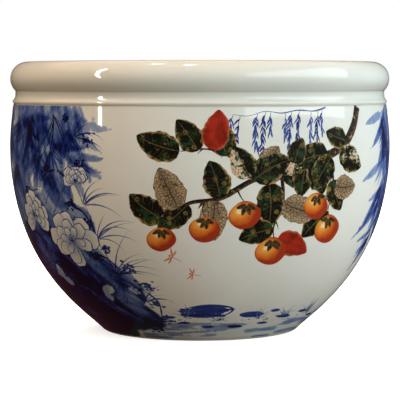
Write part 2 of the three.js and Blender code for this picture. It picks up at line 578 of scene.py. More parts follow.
class MeshBox:
    """Gathers vertices, faces and stored values, and makes one Blender object of them."""

    def __init__(self, name: str, wash: Wash | None = None) -> None:
        """Starts an empty box.

        Args:
            name: The piece's name.
            wash: Gives the density of washes at angles and heights.
        """
        self.name, self.wash, self.count = name, wash, 0
        self.vertices: list[Array] = []
        self.faces: list[Array] = []
        self.normals: list[Array] = []
        self.marks: dict[str, list[Array]] = {}

    def add_vertices(self, places: Array, marks: dict[str, Array | float]) -> int:
        """Adds vertices.

        Args:
            places: Their places, one row each.
            marks: Values stored on them, by name.

        Returns:
            The number of the first one.
        """
        self.vertices.append(places)
        for name, values in marks.items():
            self.marks.setdefault(name, []).append(np.broadcast_to(values, len(places)))
        self.count += len(places)
        return self.count - len(places)

    def add_faces(self, corners: Array, normals: Array) -> None:
        """Adds faces with as many corners each, as rows of vertex numbers, and their corners' normals."""
        self.faces.append(corners)
        self.normals.append(normals.reshape(-1, 3))

    def _wash(self) -> None:
        """Turns the stored "wash", which is 1 where the painter reaches, into the washes' density."""
        places = np.concatenate(self.vertices)
        at = np.flatnonzero(np.concatenate(self.marks["wash"]))
        density = np.zeros(len(places))
        density[at] = self.wash(np.arctan2(places[at, 0], -places[at, 1]), places[at, 2])
        self.marks["wash"] = [density]

    def made(self) -> bpy.types.Object:
        """Makes the object and links it to the scene.

        Returns:
            The object.
        """
        if self.wash is not None:
            self._wash()
        mesh = bpy.data.meshes.new(self.name)
        loops = np.concatenate([f.ravel() for f in self.faces]).astype(np.int32)
        sizes = np.concatenate([np.full(len(f), f.shape[1], np.int32) for f in self.faces])
        mesh.vertices.add(self.count)
        mesh.vertices.foreach_set("co", np.concatenate(self.vertices).astype(np.float32).ravel())
        mesh.loops.add(len(loops))
        mesh.loops.foreach_set("vertex_index", loops)
        mesh.polygons.add(len(sizes))
        mesh.polygons.foreach_set("loop_start", np.concatenate([[0], np.cumsum(sizes)[:-1]]).astype(np.int32))
        mesh.polygons.foreach_set("use_smooth", np.ones(len(sizes), bool))
        for name, values in self.marks.items():
            stored = mesh.attributes.new(name, "FLOAT", "POINT")
            stored.data.foreach_set("value", np.concatenate(values).astype(np.float32))
        mesh.update(calc_edges=True)
        mesh.validate()
        mesh.normals_split_custom_set(np.concatenate(self.normals).tolist())
        made = bpy.data.objects.new(self.name, mesh)
        bpy.context.scene.collection.objects.link(made)
        return made


@dataclass(frozen=True)
class Section:
    """One thrown section of the bowl: its CAD node, its slot and its outline, which is turned.

    The outline runs anticlockwise with the axis at the left. Each stretch starts where the one before ends,
    and the last ends where the first starts, or both lie on the axis.
    """

    node: str
    slot: str
    runs: list[Run]
    on_axis: float = 0.01 * MM

    def build(self, pool_and_shading_bands: Sequence[PoolAndShadingBand], wash: Wash, glaze: bpy.types.Material) -> None:
        """Turns the section as a glazed piece that stands for its CAD node.

        Args:
            pool_and_shading_bands: Where the glaze darkens, as glaze that pools and as painted shade, and
            where it lightens, as glaze that runs thin and as painted light.
            wash: Gives the density of cobalt washes at angles and heights.
            glaze: The finish.
        """
        box = MeshBox(f"{self.node}_glazed", wash)
        angles = np.arange(SIDES) * math.tau / SIDES
        across = np.stack([np.sin(angles), -np.cos(angles)], axis=1)
        following = np.roll(np.arange(SIDES), -1)

        def ring(point: Array, *runs: Run) -> Array:
            """Adds a ring or a single point on the axis, marked as the most glazed of its stretches.

            Args:
                point: The ring's radius and height.
                *runs: The stretches that meet there.

            Returns:
                Its vertices' numbers.
            """
            run = min(runs, key=lambda r: r.bare)
            # Above 0 darker, for glaze that pools and for painted shade; below 0 lighter, for thin glaze and
            # for painted light.
            pool = min(1.0, max(-1.0, sum(pool_shading_band.at(point) for pool_shading_band in pool_and_shading_bands)))
            marks = {"pool": pool, "bare": run.bare, "wash": float(run.painted)}
            if point[0] < self.on_axis:
                return np.full(SIDES, box.add_vertices(np.array([[0.0, 0.0, point[1]]]), marks))
            return np.arange(SIDES) + box.add_vertices(round_axis(point), marks)

        def round_axis(pair: Array) -> Array:
            """A radius and a height, or a normal's share out and up, all round one ring."""
            return np.column_stack([across * pair[0], np.full(SIDES, pair[1])])

        runs = self.runs
        first = below = ring(runs[0].points[0], runs[0], runs[-1])
        closes = runs[0].points[0][0] > self.on_axis
        for run, next_run in zip(runs, [*runs[1:], None]):
            for step in range(1, len(run.points)):
                last = step == len(run.points) - 1
                if last and next_run is None and closes:
                    above = first
                else:
                    above = ring(run.points[step], run, *([next_run] if last and next_run else []))
                low, high = round_axis(run.normals[step - 1]), round_axis(run.normals[step])
                columns = [below, below[following], above[following], above]
                normals = [low, low[following], high[following], high]
                kept = slice(1, 4) if below[0] == below[1] else slice(0, 3 if above[0] == above[1] else 4)
                box.add_faces(np.stack(columns[kept], axis=1), np.stack(normals[kept], axis=1))
                below = above
        piece = box.made()
        piece.data.materials.append(glaze)
        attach(piece, BODY)
        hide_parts(self.node)
        log.info("%s: %d faces, stands for %s", piece.name, len(piece.data.polygons), self.node)


class Grain:
    """Seeded smooth noise on a plane, for the edges and tones of washes."""

    def __init__(self, seed: int, size: float) -> None:
        """Draws the lattice.

        Args:
            seed: Picks the pattern.
            size: The length of one swell, in metres.
        """
        self.size = size
        self.lattice = np.random.default_rng(seed).random((64, 64))

    def _layer(self, x: Array, y: Array) -> Array:
        """One octave.

        Args:
            x: Places across, in swells.
            y: Places up, in swells.

        Returns:
            Values from 0 to 1.
        """
        column, row = np.floor(x).astype(int), np.floor(y).astype(int)
        u, v = x - column, y - row
        u, v = u * u * (3 - 2 * u), v * v * (3 - 2 * v)
        side = len(self.lattice)
        pick = (lambda down, over: self.lattice[down % side, over % side])
        low = pick(row, column) * (1 - u) + pick(row, column + 1) * u
        high = pick(row + 1, column) * (1 - u) + pick(row + 1, column + 1) * u
        return low * (1 - v) + high * v

    def at(self, x: Array, y: Array, octaves: int = 3) -> Array:
        """The noise at places.

        Args:
            x: Places across, in metres.
            y: Places up, in metres.
            octaves: Layers, each half as large and half as strong as the last.

        Returns:
            Values about 0.5.
        """
        x, y = np.asarray(x, float) / self.size, np.asarray(y, float) / self.size
        total, weight = np.zeros(np.broadcast(x, y).shape), 0.0
        for octave in range(octaves):
            share = 0.5**octave
            total += share * self._layer(x * 2**octave + 17 * octave, y * 2**octave + 5 * octave)
            weight += share
        return total / weight


def step_up(values: Array, low: float, high: float) -> Array:
    """A smooth step from 0 at low to 1 at high, which may be the lower one."""
    t = np.clip((values - low) / (high - low), 0.0, 1.0)
    return t * t * (3 - 2 * t)


@dataclass(frozen=True)
class Anchor:
    """A place on the painted wall: degrees to the right of the front, and a height in millimetres."""

    degrees: float
    height: float


class Ground:
    """The glazed outside of the body, as the painter meets it."""

    def __init__(self, curve: BodyCurve) -> None:
        """Takes the outside from the foot up to the shoulder."""
        self.radii, self.heights = curve.outside.T
        self.climbs, self.rows = travelled(curve.outside), np.hstack([curve.outside, curve.normals])

    def climb_at(self, height: Array | float) -> Array:
        """How far up the wall a height lies, along the surface."""
        return np.interp(height, self.heights, self.climbs)

    def spread(self, anchor: Anchor, angles: Array, heights: Array) -> tuple[Array, Array]:
        """Where places lie as seen from an anchor.

        Args:
            anchor: The point that they are measured from.
            angles: Their angles, in radians.
            heights: Their heights, in metres.

        Returns:
            Distances to the right and up the wall, in metres.
        """
        turn = (angles - math.radians(anchor.degrees) + math.pi) % math.tau - math.pi
        radius = np.interp(heights, self.heights, self.radii)
        return turn * radius, self.climb_at(heights) - self.climb_at(anchor.height * MM)

    def wrap(self, anchor: Anchor, flat: Array, lift: Array) -> tuple[Array, Array]:
        """Lays a flat drawing on the wall.

        Args:
            anchor: Where the drawing's origin goes.
            flat: Its points, to the right and up, in metres.
            lift: How far each stands out from the wall, in metres.

        Returns:
            Places and normals, one row for each point.
        """
        climb = np.clip(self.climb_at(anchor.height * MM) + flat[:, 1], self.climbs[0], self.climbs[-1])
        radius, height, out, up = read_at(climb, self.climbs, self.rows).T
        angle = math.radians(anchor.degrees) + flat[:, 0] / radius
        normals = np.stack([out * np.sin(angle), -out * np.cos(angle), up], axis=1)
        places = np.stack([radius * np.sin(angle), -radius * np.cos(angle), height], axis=1)
        return places + normals * lift[:, None], normals


class Pressure(enum.Enum):
    """How a brush mark swells and thins from its start to its end."""

    BAMBOO = "bamboo leaf"
    BROAD = "broad leaf"
    GRASS = "blade of grass"
    CULM = "bamboo stem"
    LINE = "thin line"
    BOUGH = "bough"
    DASH = "short dab"
    PETAL = "rounded petal"

    def at(self, t: Array) -> Array:
        """The mark's width at shares of its length.

        Args:
            t: The shares, from 0 at its start to 1 at its end.

        Returns:
            The width at each, as a share of the mark's widest.
        """
        rest = 1 - t
        match self:
            case Pressure.BAMBOO:
                return t**0.5 * rest**0.85 / 0.398
            case Pressure.BROAD:
                return t**0.52 * rest**0.8 / 0.394
            case Pressure.PETAL:
                return t**0.75 * rest**0.42 / 0.466
            case Pressure.GRASS:
                return (0.3 + 0.7 * np.sin(math.pi * t**0.7)) * rest**0.55
            case Pressure.CULM:
                waist = np.minimum(1.0, 0.86 + 2 * (t - 0.5) ** 4 * 3)
                return waist * np.minimum(1.0, np.minimum(t, rest) * 40 + 0.7)
            case Pressure.BOUGH:
                return 1 - 0.78 * t
            case Pressure.DASH:
                return np.sin(math.pi * np.clip(t, 0.02, 0.98)) ** 0.6
            case Pressure.LINE:
                return 1 - 0.75 * t**2


def sweep(start: Point, heading: float, length: float, bend: float = 0.0, step: float = 3.0) -> Array:
    """A line that leaves a point and turns evenly.

    Args:
        start: Where it starts, in millimetres.
        heading: Its first direction, in degrees from the right.
        length: Its length, in millimetres.
        bend: How far it turns over its length, in degrees.
        step: The longest distance between points, in millimetres.

    Returns:
        Its points, in metres.
    """
    count = max(5, math.ceil(length / step) + 1)
    turns = np.radians(heading + bend * (np.arange(count - 1) + 0.5) / (count - 1))
    moves = np.stack([np.cos(turns), np.sin(turns)], axis=1) * length / (count - 1)
    return np.vstack([[start], np.array(start) + np.cumsum(moves, axis=0)]) * MM


class Film(MeshBox):
    """Brush marks gathered into one mesh, each a thin closed film of pigment that follows the wall."""

    FLOOR = -0.04 * MM
    LAYER = 0.03
    STAGGER = 0.002
    NARROW = (-1.0, -0.84, 0.0, 0.84, 1.0)
    WIDE = (-1.0, -0.95, -0.75, -0.5, -0.25, 0.0, 0.25, 0.5, 0.75, 0.95, 1.0)

    def __init__(self, name: str, ground: Ground, wash: Wash | None = None, lift: float = 0.05) -> None:
        """Starts a film on a wall; its lowest marks stand out by the lift, in millimetres."""
        super().__init__(name, wash)
        self.ground, self.lift, self.laid = ground, lift, 0

    def begin(self, anchor: Anchor, seed: int) -> np.random.Generator:
        """Starts a motif: its marks are measured from its anchor, and its chance comes from its own seed."""
        self.anchor, self.rng = anchor, np.random.default_rng(seed)
        return self.rng

    def _height(self, level: int) -> float:
        """How far the next mark stands out, in metres; neighbours differ so that they don't meet."""
        self.laid += 1
        return (self.lift + self.LAYER * level + self.STAGGER * (self.laid % 12)) * MM

    def _lay(self, flat: Array, lift: Array, **marks: Array | float) -> tuple[int, Array]:
        """Adds a mark's vertices with its values; returns the first one's number and the wall's normals."""
        places, normals = self.ground.wrap(self.anchor, flat, lift)
        return self.add_vertices(places, marks if self.wash is None else {**marks, "wash": 1.0}), normals

    def _cover(self, corners: Array, normals: Array, first: int) -> None:
        """Adds faces whose corners take the normals kept for a mark's vertices."""
        self.add_faces(corners.reshape(-1, corners.shape[-1]), normals[corners - first])

    def stroke(self, path: Array, width: float, pressure: Pressure, ink: Point = (1.0, 1.0),
               level: int = 0, wide: bool = False, seed: float | None = None, tint: float = 0.0,
               sway: float = 0.0) -> None:
        """Lays one brush mark along a line.

        Args:
            path: The line, in metres from the anchor.
            width: The mark's widest, in millimetres.
            pressure: How the width changes along it.
            ink: The pigment's density at the start and at the end.
            level: The layer, counted from the wall.
            wide: Whether it has many columns across.
            seed: The pattern's seed, from 0 to 1, or None to draw it.
            tint: A free value for the finish, from 0 to 1.
            sway: How far the edges wander, as a share of the width.
        """
        seed = float(self.rng.random()) if seed is None else seed
        columns = np.array(self.WIDE if wide else self.NARROW)
        count, across = len(path), len(columns)
        t = np.linspace(0.0, 1.0, count)
        tangents = np.gradient(path, axis=0)
        tangents /= np.linalg.norm(tangents, axis=1, keepdims=True) + 1e-12
        side = np.stack([-tangents[:, 1], tangents[:, 0]], axis=1)
        half = np.maximum(pressure.at(t) * width / 2, 0.05) * MM
        wander = 1 + sway * np.sin(t * 23 + seed * 60) * np.sin(t * 9 + seed * 25)
        flat = path[:, None, :] + side[:, None, :] * (half * wander)[:, None, None] * columns[None, :, None]
        lift = np.full((count, across), self._height(level))
        lift[:, [0, -1]] = lift[[0, -1], :] = self.FLOOR
        first, normals = self._lay(
            flat.reshape(-1, 2), lift.ravel(), along=np.repeat(t, across), across=np.tile(columns, count),
            ink=np.repeat(ink[0] + (ink[1] - ink[0]) * t, across), seed=seed, tint=tint)
        number = first + np.arange(count * across).reshape(count, across)
        top = np.stack([number[1:, :-1], number[1:, 1:], number[:-1, 1:], number[:-1, :-1]], axis=-1)
        under = np.stack([number[:-1, 0], number[:-1, -1], number[1:, -1], number[1:, 0]], axis=-1)
        self._cover(top, normals, first)
        for hidden in (under, number[:1], number[-1:, ::-1]):
            self._cover(hidden, -normals, first)

    def dab(self, centre: Point, size: Point, turn: float, ink: float, level: int, seed: float | None = None,
            lobes: int = 0, depth: float = 0.0, rough: float = 0.03, rings: int = 3, sides: int = 12) -> None:
        """Lays one rounded dab.

        Args:
            centre: Its middle, in millimetres from the anchor.
            size: Its width and height, in millimetres.
            turn: How far it is turned, in degrees.
            ink: The pigment's density.
            level: The layer, counted from the wall.
            seed: The pattern's seed, from 0 to 1, or None to draw it.
            lobes: How many lobes the outline has.
            depth: How deep they are, as a share of the size.
            rough: How much the outline wanders, as a share of the size.
            rings: Rings between the middle and the edge.
            sides: The fewest points round the edge.
        """
        seed = float(self.rng.random()) if seed is None else seed
        sides = max(sides, int(4 * math.sqrt(max(size)) + 4 * lobes))
        round_it = np.arange(sides) * math.tau / sides
        outline = 1 + depth * np.cos(lobes * round_it) + rough * (
            np.sin(2 * round_it + seed * 40) + np.sin(5 * round_it + seed * 90) * 0.7)
        shares = np.concatenate([np.linspace(0.0, 0.9, rings + 1)[1:], [1.0]])
        unit = np.stack([np.cos(round_it), np.sin(round_it)], axis=1) * outline[:, None]
        spots = np.vstack([[[0.0, 0.0]], *(unit * share for share in shares)])
        right, up = (spots * np.array(size) / 2).T
        cos, sin = math.cos(math.radians(turn)), math.sin(math.radians(turn))
        flat = np.stack([right * cos - up * sin + centre[0], right * sin + up * cos + centre[1]], axis=1) * MM
        lift = np.full(len(spots), self._height(level))
        lift[-sides:] = self.FLOOR
        across, along = spots.T
        first, normals = self._lay(flat, lift, along=along, across=across, ink=ink, seed=seed, tint=0.0)
        number = first + 1 + np.arange(sides * len(shares)).reshape(len(shares), sides)
        following = np.roll(number, -1, axis=1)
        middle = np.stack([np.full(sides, first), number[0], following[0]], axis=-1)
        bands = np.stack([number[:-1], number[1:], following[1:], following[:-1]], axis=-1)
        self._cover(middle, normals, first)
        self._cover(bands, normals, first)
        self._cover(number[-1:, ::-1], -normals, first)


def crossed(*densities: Array) -> Array:
    """The density of washes that lie over each other."""
    return 1 - math.prod(1 - np.clip(density, 0.0, 1.0) for density in densities)


@dataclass(frozen=True)
class Lobe:
    """An oval of a wash: its middle and its half width and height, in millimetres."""

    x: float
    y: float
    across: float
    up: float

    def inside(self, x: Array, y: Array) -> Array:
        """1 at the middle, 0 on the edge and less outside."""
        return 1 - ((x / MM - self.x) / self.across) ** 2 - ((y / MM - self.y) / self.up) ** 2


@dataclass
class GardenRock:
    """A pierced garden rock in layered cobalt washes, with contour and texture strokes."""

    anchor: Anchor
    lobes: tuple[Lobe, ...]
    hollows: tuple[Lobe, ...]
    contours: tuple[tuple[Point, ...], ...]
    moss: tuple[tuple[float, float, float], ...]
    seed: int = 3
    strength: float = 1.0
    bend: float = 13 * MM
    texture: int = 150

    def wash(self, x: Array, y: Array) -> Array:
        """The density of the rock's washes.

        Args:
            x: Distances to the right of the anchor, in metres.
            y: Distances up the wall from it.

        Returns:
            The density at each place.
        """
        warp = Grain(self.seed, 24 * MM)
        u = x + (warp.at(x, y) - 0.5) * self.bend
        v = y + (warp.at(x + 0.4, y + 0.3) - 0.5) * self.bend
        body = np.max([lobe.inside(u, v) for lobe in self.lobes], axis=0)
        hollow = np.max([lobe.inside(u, v) for lobe in self.hollows], axis=0)
        hollow = hollow + (Grain(self.seed + 4, 8 * MM).at(x, y) - 0.5) * 0.9
        shape = step_up(body, -0.03, 0.12) * (1 - 0.86 * step_up(hollow, -0.12, 0.16))
        shade = step_up(-0.55 * u - 0.75 * v, -60 * MM, 78 * MM)
        streak = Grain(self.seed + 1, 9 * MM).at(u * 0.9 + v * 0.9, (u - v) * 0.16)
        cloud = Grain(self.seed + 2, 30 * MM).at(u, v)
        rim = np.exp(-((body - 0.10) / 0.12) ** 2) * (0.3 + 0.7 * shade)
        lip = np.exp(-((hollow + 0.18) / 0.16) ** 2)
        tone = 0.24 + 0.70 * shade + 0.80 * (streak - 0.5) + 0.6 * (cloud - 0.5) + 0.18 * rim + 0.35 * lip
        return shape * np.clip(tone, 0.05, 1.0) * self.strength

    def strokes(self, film: Film) -> None:
        """Paints the contours, the texture strokes between the hollows, and the moss dots.

        Args:
            film: The film to paint on.
        """
        rng = film.begin(self.anchor, self.seed)
        for number, points in enumerate(self.contours):
            film.stroke(smooth_line(points), 3.2, Pressure.GRASS, (1.1, 0.5), 1,
                        seed=number * 0.13, sway=0.35)
        laid = 0
        while laid < self.texture:
            lobe = self.lobes[int(rng.integers(len(self.lobes)))]
            spot = (lobe.x + rng.uniform(-1, 1) * lobe.across, lobe.y + rng.uniform(-1, 1) * lobe.up)
            x, y = np.array(spot) * MM
            if lobe.inside(x, y) < 0.12 or max(h.inside(x, y) for h in self.hollows) > -0.25:
                continue
            heading, tone = 232 + rng.normal(0, 16), rng.uniform(0.25, 0.8)
            path = sweep(spot, heading, rng.uniform(9, 26), rng.uniform(-28, 28))
            film.stroke(path, rng.uniform(0.8, 2.4), Pressure.GRASS, (tone, tone * 0.3), sway=0.4)
            laid += 1
        for x, y, spread in self.moss:
            for _ in range(int(spread * 2.6)):
                spot = (x + rng.normal(0, spread * 0.46), y + rng.normal(0, spread * 0.38))
                size = rng.uniform(2.2, 5.4)
                film.dab(spot, (size, size * rng.uniform(0.6, 0.95)), rng.uniform(-40, 40),
                         rng.uniform(0.6, 1.1), 2, rough=0.10, rings=1)


@dataclass(frozen=True)
class LeafSpray:
    """A twig's end with bamboo leaves: where it is, its tone, and how many leaves of what length."""

    x: float
    y: float
    ink: float
    leaves: int
    length: float
    heading: float
    fan: float


@dataclass
class Bamboo:
    """Bamboo in cobalt: jointed culms, thin twigs and sprays of pointed leaves.

    A culm is its place, its lowest and highest point, its lean from upright in degrees, and its tone.
    """

    anchor: Anchor
    culms: tuple[tuple[float, float, float, float, float], ...]
    sprays: tuple[LeafSpray, ...]
    seed: int = 11
    veil: tuple[Lobe, ...] = ()
    joint_length: float = 46.0
    joint_gap: float = 1.6
    culm_width: float = 7.5
    mist: float = 1.0

    def wash(self, x: Array, y: Array) -> Array:
        """The density of the streaky veil and the pale far leaves that lie behind the painted ones.

        Args:
            x: Distances to the right of the anchor, in metres.
            y: Distances up the wall from it.

        Returns:
            The density at each place.
        """
        streak = Grain(self.seed + 3, 5 * MM).at(x + y * 0.4, (y - x * 0.4) * 0.10)
        cloud = Grain(self.seed, 26 * MM).at(x, y)
        body = np.max([np.full(x.shape, -2.0), *(lobe.inside(x, y) for lobe in self.veil)], axis=0)
        torn = step_up(body + (streak - 0.5) * 1.1 + (cloud - 0.5) * 1.8, -0.15, 0.75)
        density = torn * np.clip(0.08 + 0.34 * cloud + 0.40 * (streak - 0.25), 0.0, 0.55)
        rng = np.random.default_rng(self.seed + 5)
        for spray in self.sprays:
            for share in np.linspace(-0.65, 0.65, 9):
                heading = math.radians(spray.heading + share * spray.fan + rng.normal(0, 8))
                length, tone = spray.length * rng.uniform(0.8, 1.5) * MM, rng.uniform(0.12, 0.34)
                right, up = x - (spray.x + rng.normal(0, 9)) * MM, y - (spray.y + rng.normal(0, 9)) * MM
                at = np.flatnonzero((abs(right) < length) & (abs(up) < length))
                along = (right[at] * math.cos(heading) + up[at] * math.sin(heading)) / length
                across = (up[at] * math.cos(heading) - right[at] * math.sin(heading)) / (length * 0.11)
                inner = 1 - abs(across) / np.maximum(Pressure.BAMBOO.at(np.clip(along, 0.0, 1.0)), 0.02)
                density[at] = crossed(density[at], step_up(inner, -0.1, 0.5) * tone * (0.4 + spray.ink))
        return density * self.mist

    def strokes(self, film: Film) -> None:
        """Paints the culms, then the twigs and leaves.

        Args:
            film: The film to paint on.
        """
        film.begin(self.anchor, self.seed)
        for culm in self.culms:
            self._culm(film, culm)
        for spray in sorted((*self.sprays, *self._grown(film.rng)), key=lambda s: s.ink):
            self._spray(film, spray)

    def _grown(self, rng: np.random.Generator) -> list[LeafSpray]:
        """Grows sprays from the joints of the culms' upper halves.

        Args:
            rng: The source of chance.

        Returns:
            The sprays.
        """
        grown = []
        for x, low, high, lean, ink in self.culms:
            for height in np.arange(high - 18, low + 0.42 * (high - low), -self.joint_length * 0.55):
                for side in (-1, 1):
                    if rng.random() < 0.35:
                        continue
                    out = rng.uniform(14, 44)
                    foot = x + math.radians(lean) * (height - low) + side * out
                    grown.append(LeafSpray(
                        foot, height + out * rng.uniform(0.1, 0.6),
                        ink * rng.uniform(0.5, 1.4), int(rng.integers(3, 6)), rng.uniform(34, 56),
                        -90 + side * rng.uniform(5, 40), rng.uniform(50, 90)))
        return grown

    def _culm(self, film: Film, culm: tuple[float, float, float, float, float]) -> None:
        """Paints one culm, a stroke for each joint.

        Args:
            film: The film to paint on.
            culm: The culm.
        """
        x, low, high, lean, ink = culm
        rng, gap, width = film.rng, self.joint_gap, self.culm_width
        spot = np.array([x, low], float)
        while spot[1] < high - gap:
            length = self.joint_length * rng.uniform(0.85, 1.1)
            if high - spot[1] < length * 1.5:
                length = high - spot[1]
            heading = 90 - lean + rng.normal(0, 1.2)
            path = sweep(spot, heading, length, rng.uniform(-3, 3))
            film.stroke(path, width, Pressure.CULM, (ink, ink * 0.62), wide=True, tint=1.0)
            spot = path[-1] / MM
            if spot[1] > high - 2 * gap:
                break
            knot = sweep((spot[0] - width * 0.55, spot[1] + gap * 0.2), 8 - lean, width * 1.15, -16)
            film.stroke(knot, 1.5, Pressure.DASH, (min(1.0, ink * 1.5),) * 2, 1)
            turn = math.radians(heading)
            spot = spot + gap * np.array([math.cos(turn), math.sin(turn)])
            width *= 0.97

    def _spray(self, film: Film, spray: LeafSpray) -> None:
        """Paints one spray with its twig.

        Args:
            film: The film to paint on.
            spray: The spray.
        """
        rng = film.rng
        back = (spray.heading + 90) * 2.2 + 270 + rng.uniform(-15, 15)
        twig = sweep((spray.x, spray.y), back, spray.length * 0.55, rng.uniform(-20, 20))
        film.stroke(twig, 1.1, Pressure.LINE, (spray.ink, spray.ink * 0.7), 1, seed=0.0)
        for number in range(spray.leaves):
            share = (number + 0.5) / spray.leaves - 0.5
            heading = spray.heading + share * spray.fan + rng.normal(0, 5)
            length = spray.length * rng.uniform(0.72, 1.12) * (1 - 0.5 * abs(share))
            start = (spray.x + rng.normal(0, 1.2), spray.y + rng.normal(0, 1.2))
            ink = spray.ink * rng.uniform(0.8, 1.15)
            path = sweep(start, heading, length, rng.uniform(-24, 24), 2.5)
            film.stroke(path, length * rng.uniform(0.10, 0.16), Pressure.BAMBOO, (ink, ink * 0.55),
                        1 if spray.ink < 0.5 else 2, tint=0.5)


@dataclass
class Blossoms:
    """Large white flowers with outlined petals: place, size, turn and how far each is open."""

    anchor: Anchor
    heads: tuple[tuple[float, float, float, float, float], ...]
    seed: int = 41
    outline: float = 0.75
    whorls: tuple[tuple[int, float, float], ...] = ((7, 1.0, 0.62), (6, 0.78, 0.56), (5, 0.5, 0.46))
    stamens: int = 16

    def strokes(self, film: Film) -> None:
        """Paints each head from its outer petals to its inner ones, then its stamens.

        Args:
            film: The film to paint on.
        """
        rng = film.begin(self.anchor, self.seed)
        for x, y, size, turn, open_share in self.heads:
            level = 4
            for count, reach, broad in self.whorls:
                for number in rng.permutation(count):
                    share = (number + 0.5) / count - 0.5 + rng.normal(0, 0.02)
                    heading = turn + share * 360 * open_share + reach * 30
                    self._petal(film, (x, y), heading, size * reach * rng.uniform(0.9, 1.08), broad, level)
                    level += 2
            for _ in range(self.stamens):
                heading = turn + rng.normal(0, 70 * open_share)
                path = sweep((x, y), heading, size * rng.uniform(0.10, 0.26), rng.uniform(-20, 20), 2.0)
                film.stroke(path, 0.7, Pressure.LINE, (0.9, 0.6), level, seed=0.0)
                film.dab(path[-1] / MM, (1.9, 1.5), heading, 1.0, level + 1, seed=0.0)

    def _petal(self, film: Film, start: Point, heading: float, length: float, broad: float,
               level: int) -> None:
        """Paints one petal: a dark edge, the white over it, and a few veins.

        Args:
            film: The film to paint on.
            start: Where it starts.
            heading: Its direction, in degrees.
            length: Its length.
            broad: Its width, as a share of its length.
            level: The layer of its edge.
        """
        rng = film.rng
        bend, seed, tone = rng.uniform(-26, 26), float(rng.random()), rng.uniform(0.20, 0.34)
        for grow, ink, up in ((self.outline, (0.95, 0.75), 0), (0.0, (tone, 0.0), 1)):
            path = sweep(start, heading, length + grow, bend, 1.3)
            film.stroke(path, length * broad + 2 * grow, Pressure.PETAL, ink, level + up, wide=True,
                        seed=seed, sway=0.07)
        for lean in (-13, -4, 6, 14):
            vein = sweep(start, heading + lean, length * rng.uniform(0.5, 0.8), bend - lean * 1.5)
            film.stroke(vein, 0.45, Pressure.LINE, (0.4, 0.12), level + 2, seed=0.0)


@dataclass
class Willow:
    """A willow branch under the ridge, with hanging tendrils and slender leaves.

    A tendril is its place along the branch from 0 to 1, its length, its bend in degrees, and its tone.
    """

    anchor: Anchor
    branch: tuple[Point, ...]
    hangs: tuple[tuple[float, float, float, float], ...]
    seed: int = 21

    def strokes(self, film: Film) -> None:
        """Paints the branch, then each tendril from where it leaves the branch.

        Args:
            film: The film to paint on.
        """
        rng = film.begin(self.anchor, self.seed)
        limb = smooth_line(self.branch)
        film.stroke(limb, 2.0, Pressure.BOUGH, (0.95, 0.6), 1, seed=0.0, sway=0.3)
        for place, length, bend, ink in self.hangs:
            start = limb[int(place * (len(limb) - 1))] / MM
            path = sweep(start, -90 - bend * 0.7, length, bend, 2.0)
            film.stroke(path, 0.8, Pressure.LINE, (ink, ink * 0.7), seed=0.0)
            spots = path / MM
            for number in range(2, len(spots)):
                if rng.random() < 0.25:
                    continue
                side = 1 if number % 2 else -1
                turn = math.atan2(*(spots[number] - spots[number - 1])[::-1])
                leaf = sweep(spots[number], math.degrees(turn) + side * rng.uniform(12, 38),
                             rng.uniform(6.0, 12.0), -side * rng.uniform(8, 26), 2.0)
                film.stroke(leaf, rng.uniform(1.6, 2.6), Pressure.BAMBOO,
                            (ink * rng.uniform(0.8, 1.25), ink * 0.7), 1)


@dataclass
class Orchids:
    """Clumps of long arching leaves: place, length, how many, and which way they lean."""

    anchor: Anchor
    clumps: tuple[tuple[float, float, float, int, float], ...]
    seed: int = 25
    ink: float = 1.0
    level: int = 1

    def strokes(self, film: Film) -> None:
        """Paints the leaves of each clump.

        Args:
            film: The film to paint on.
        """
        rng = film.begin(self.anchor, self.seed)
        for x, y, length, count, lean in self.clumps:
            for number in range(count):
                share = (number + 0.5) / count - 0.5
                heading = 90 - lean - share * 96 + rng.normal(0, 5)
                reach = length * rng.uniform(0.5, 1.15)
                fall = math.copysign(rng.uniform(30, 105), heading - 90)
                path = sweep((x + share * 4, y), heading, reach, fall, 2.5)
                tone = rng.uniform(0.45, 0.95) * self.ink
                film.stroke(path, rng.uniform(1.5, 2.6), Pressure.GRASS, (tone, tone * 0.35), self.level,
                            sway=0.15)


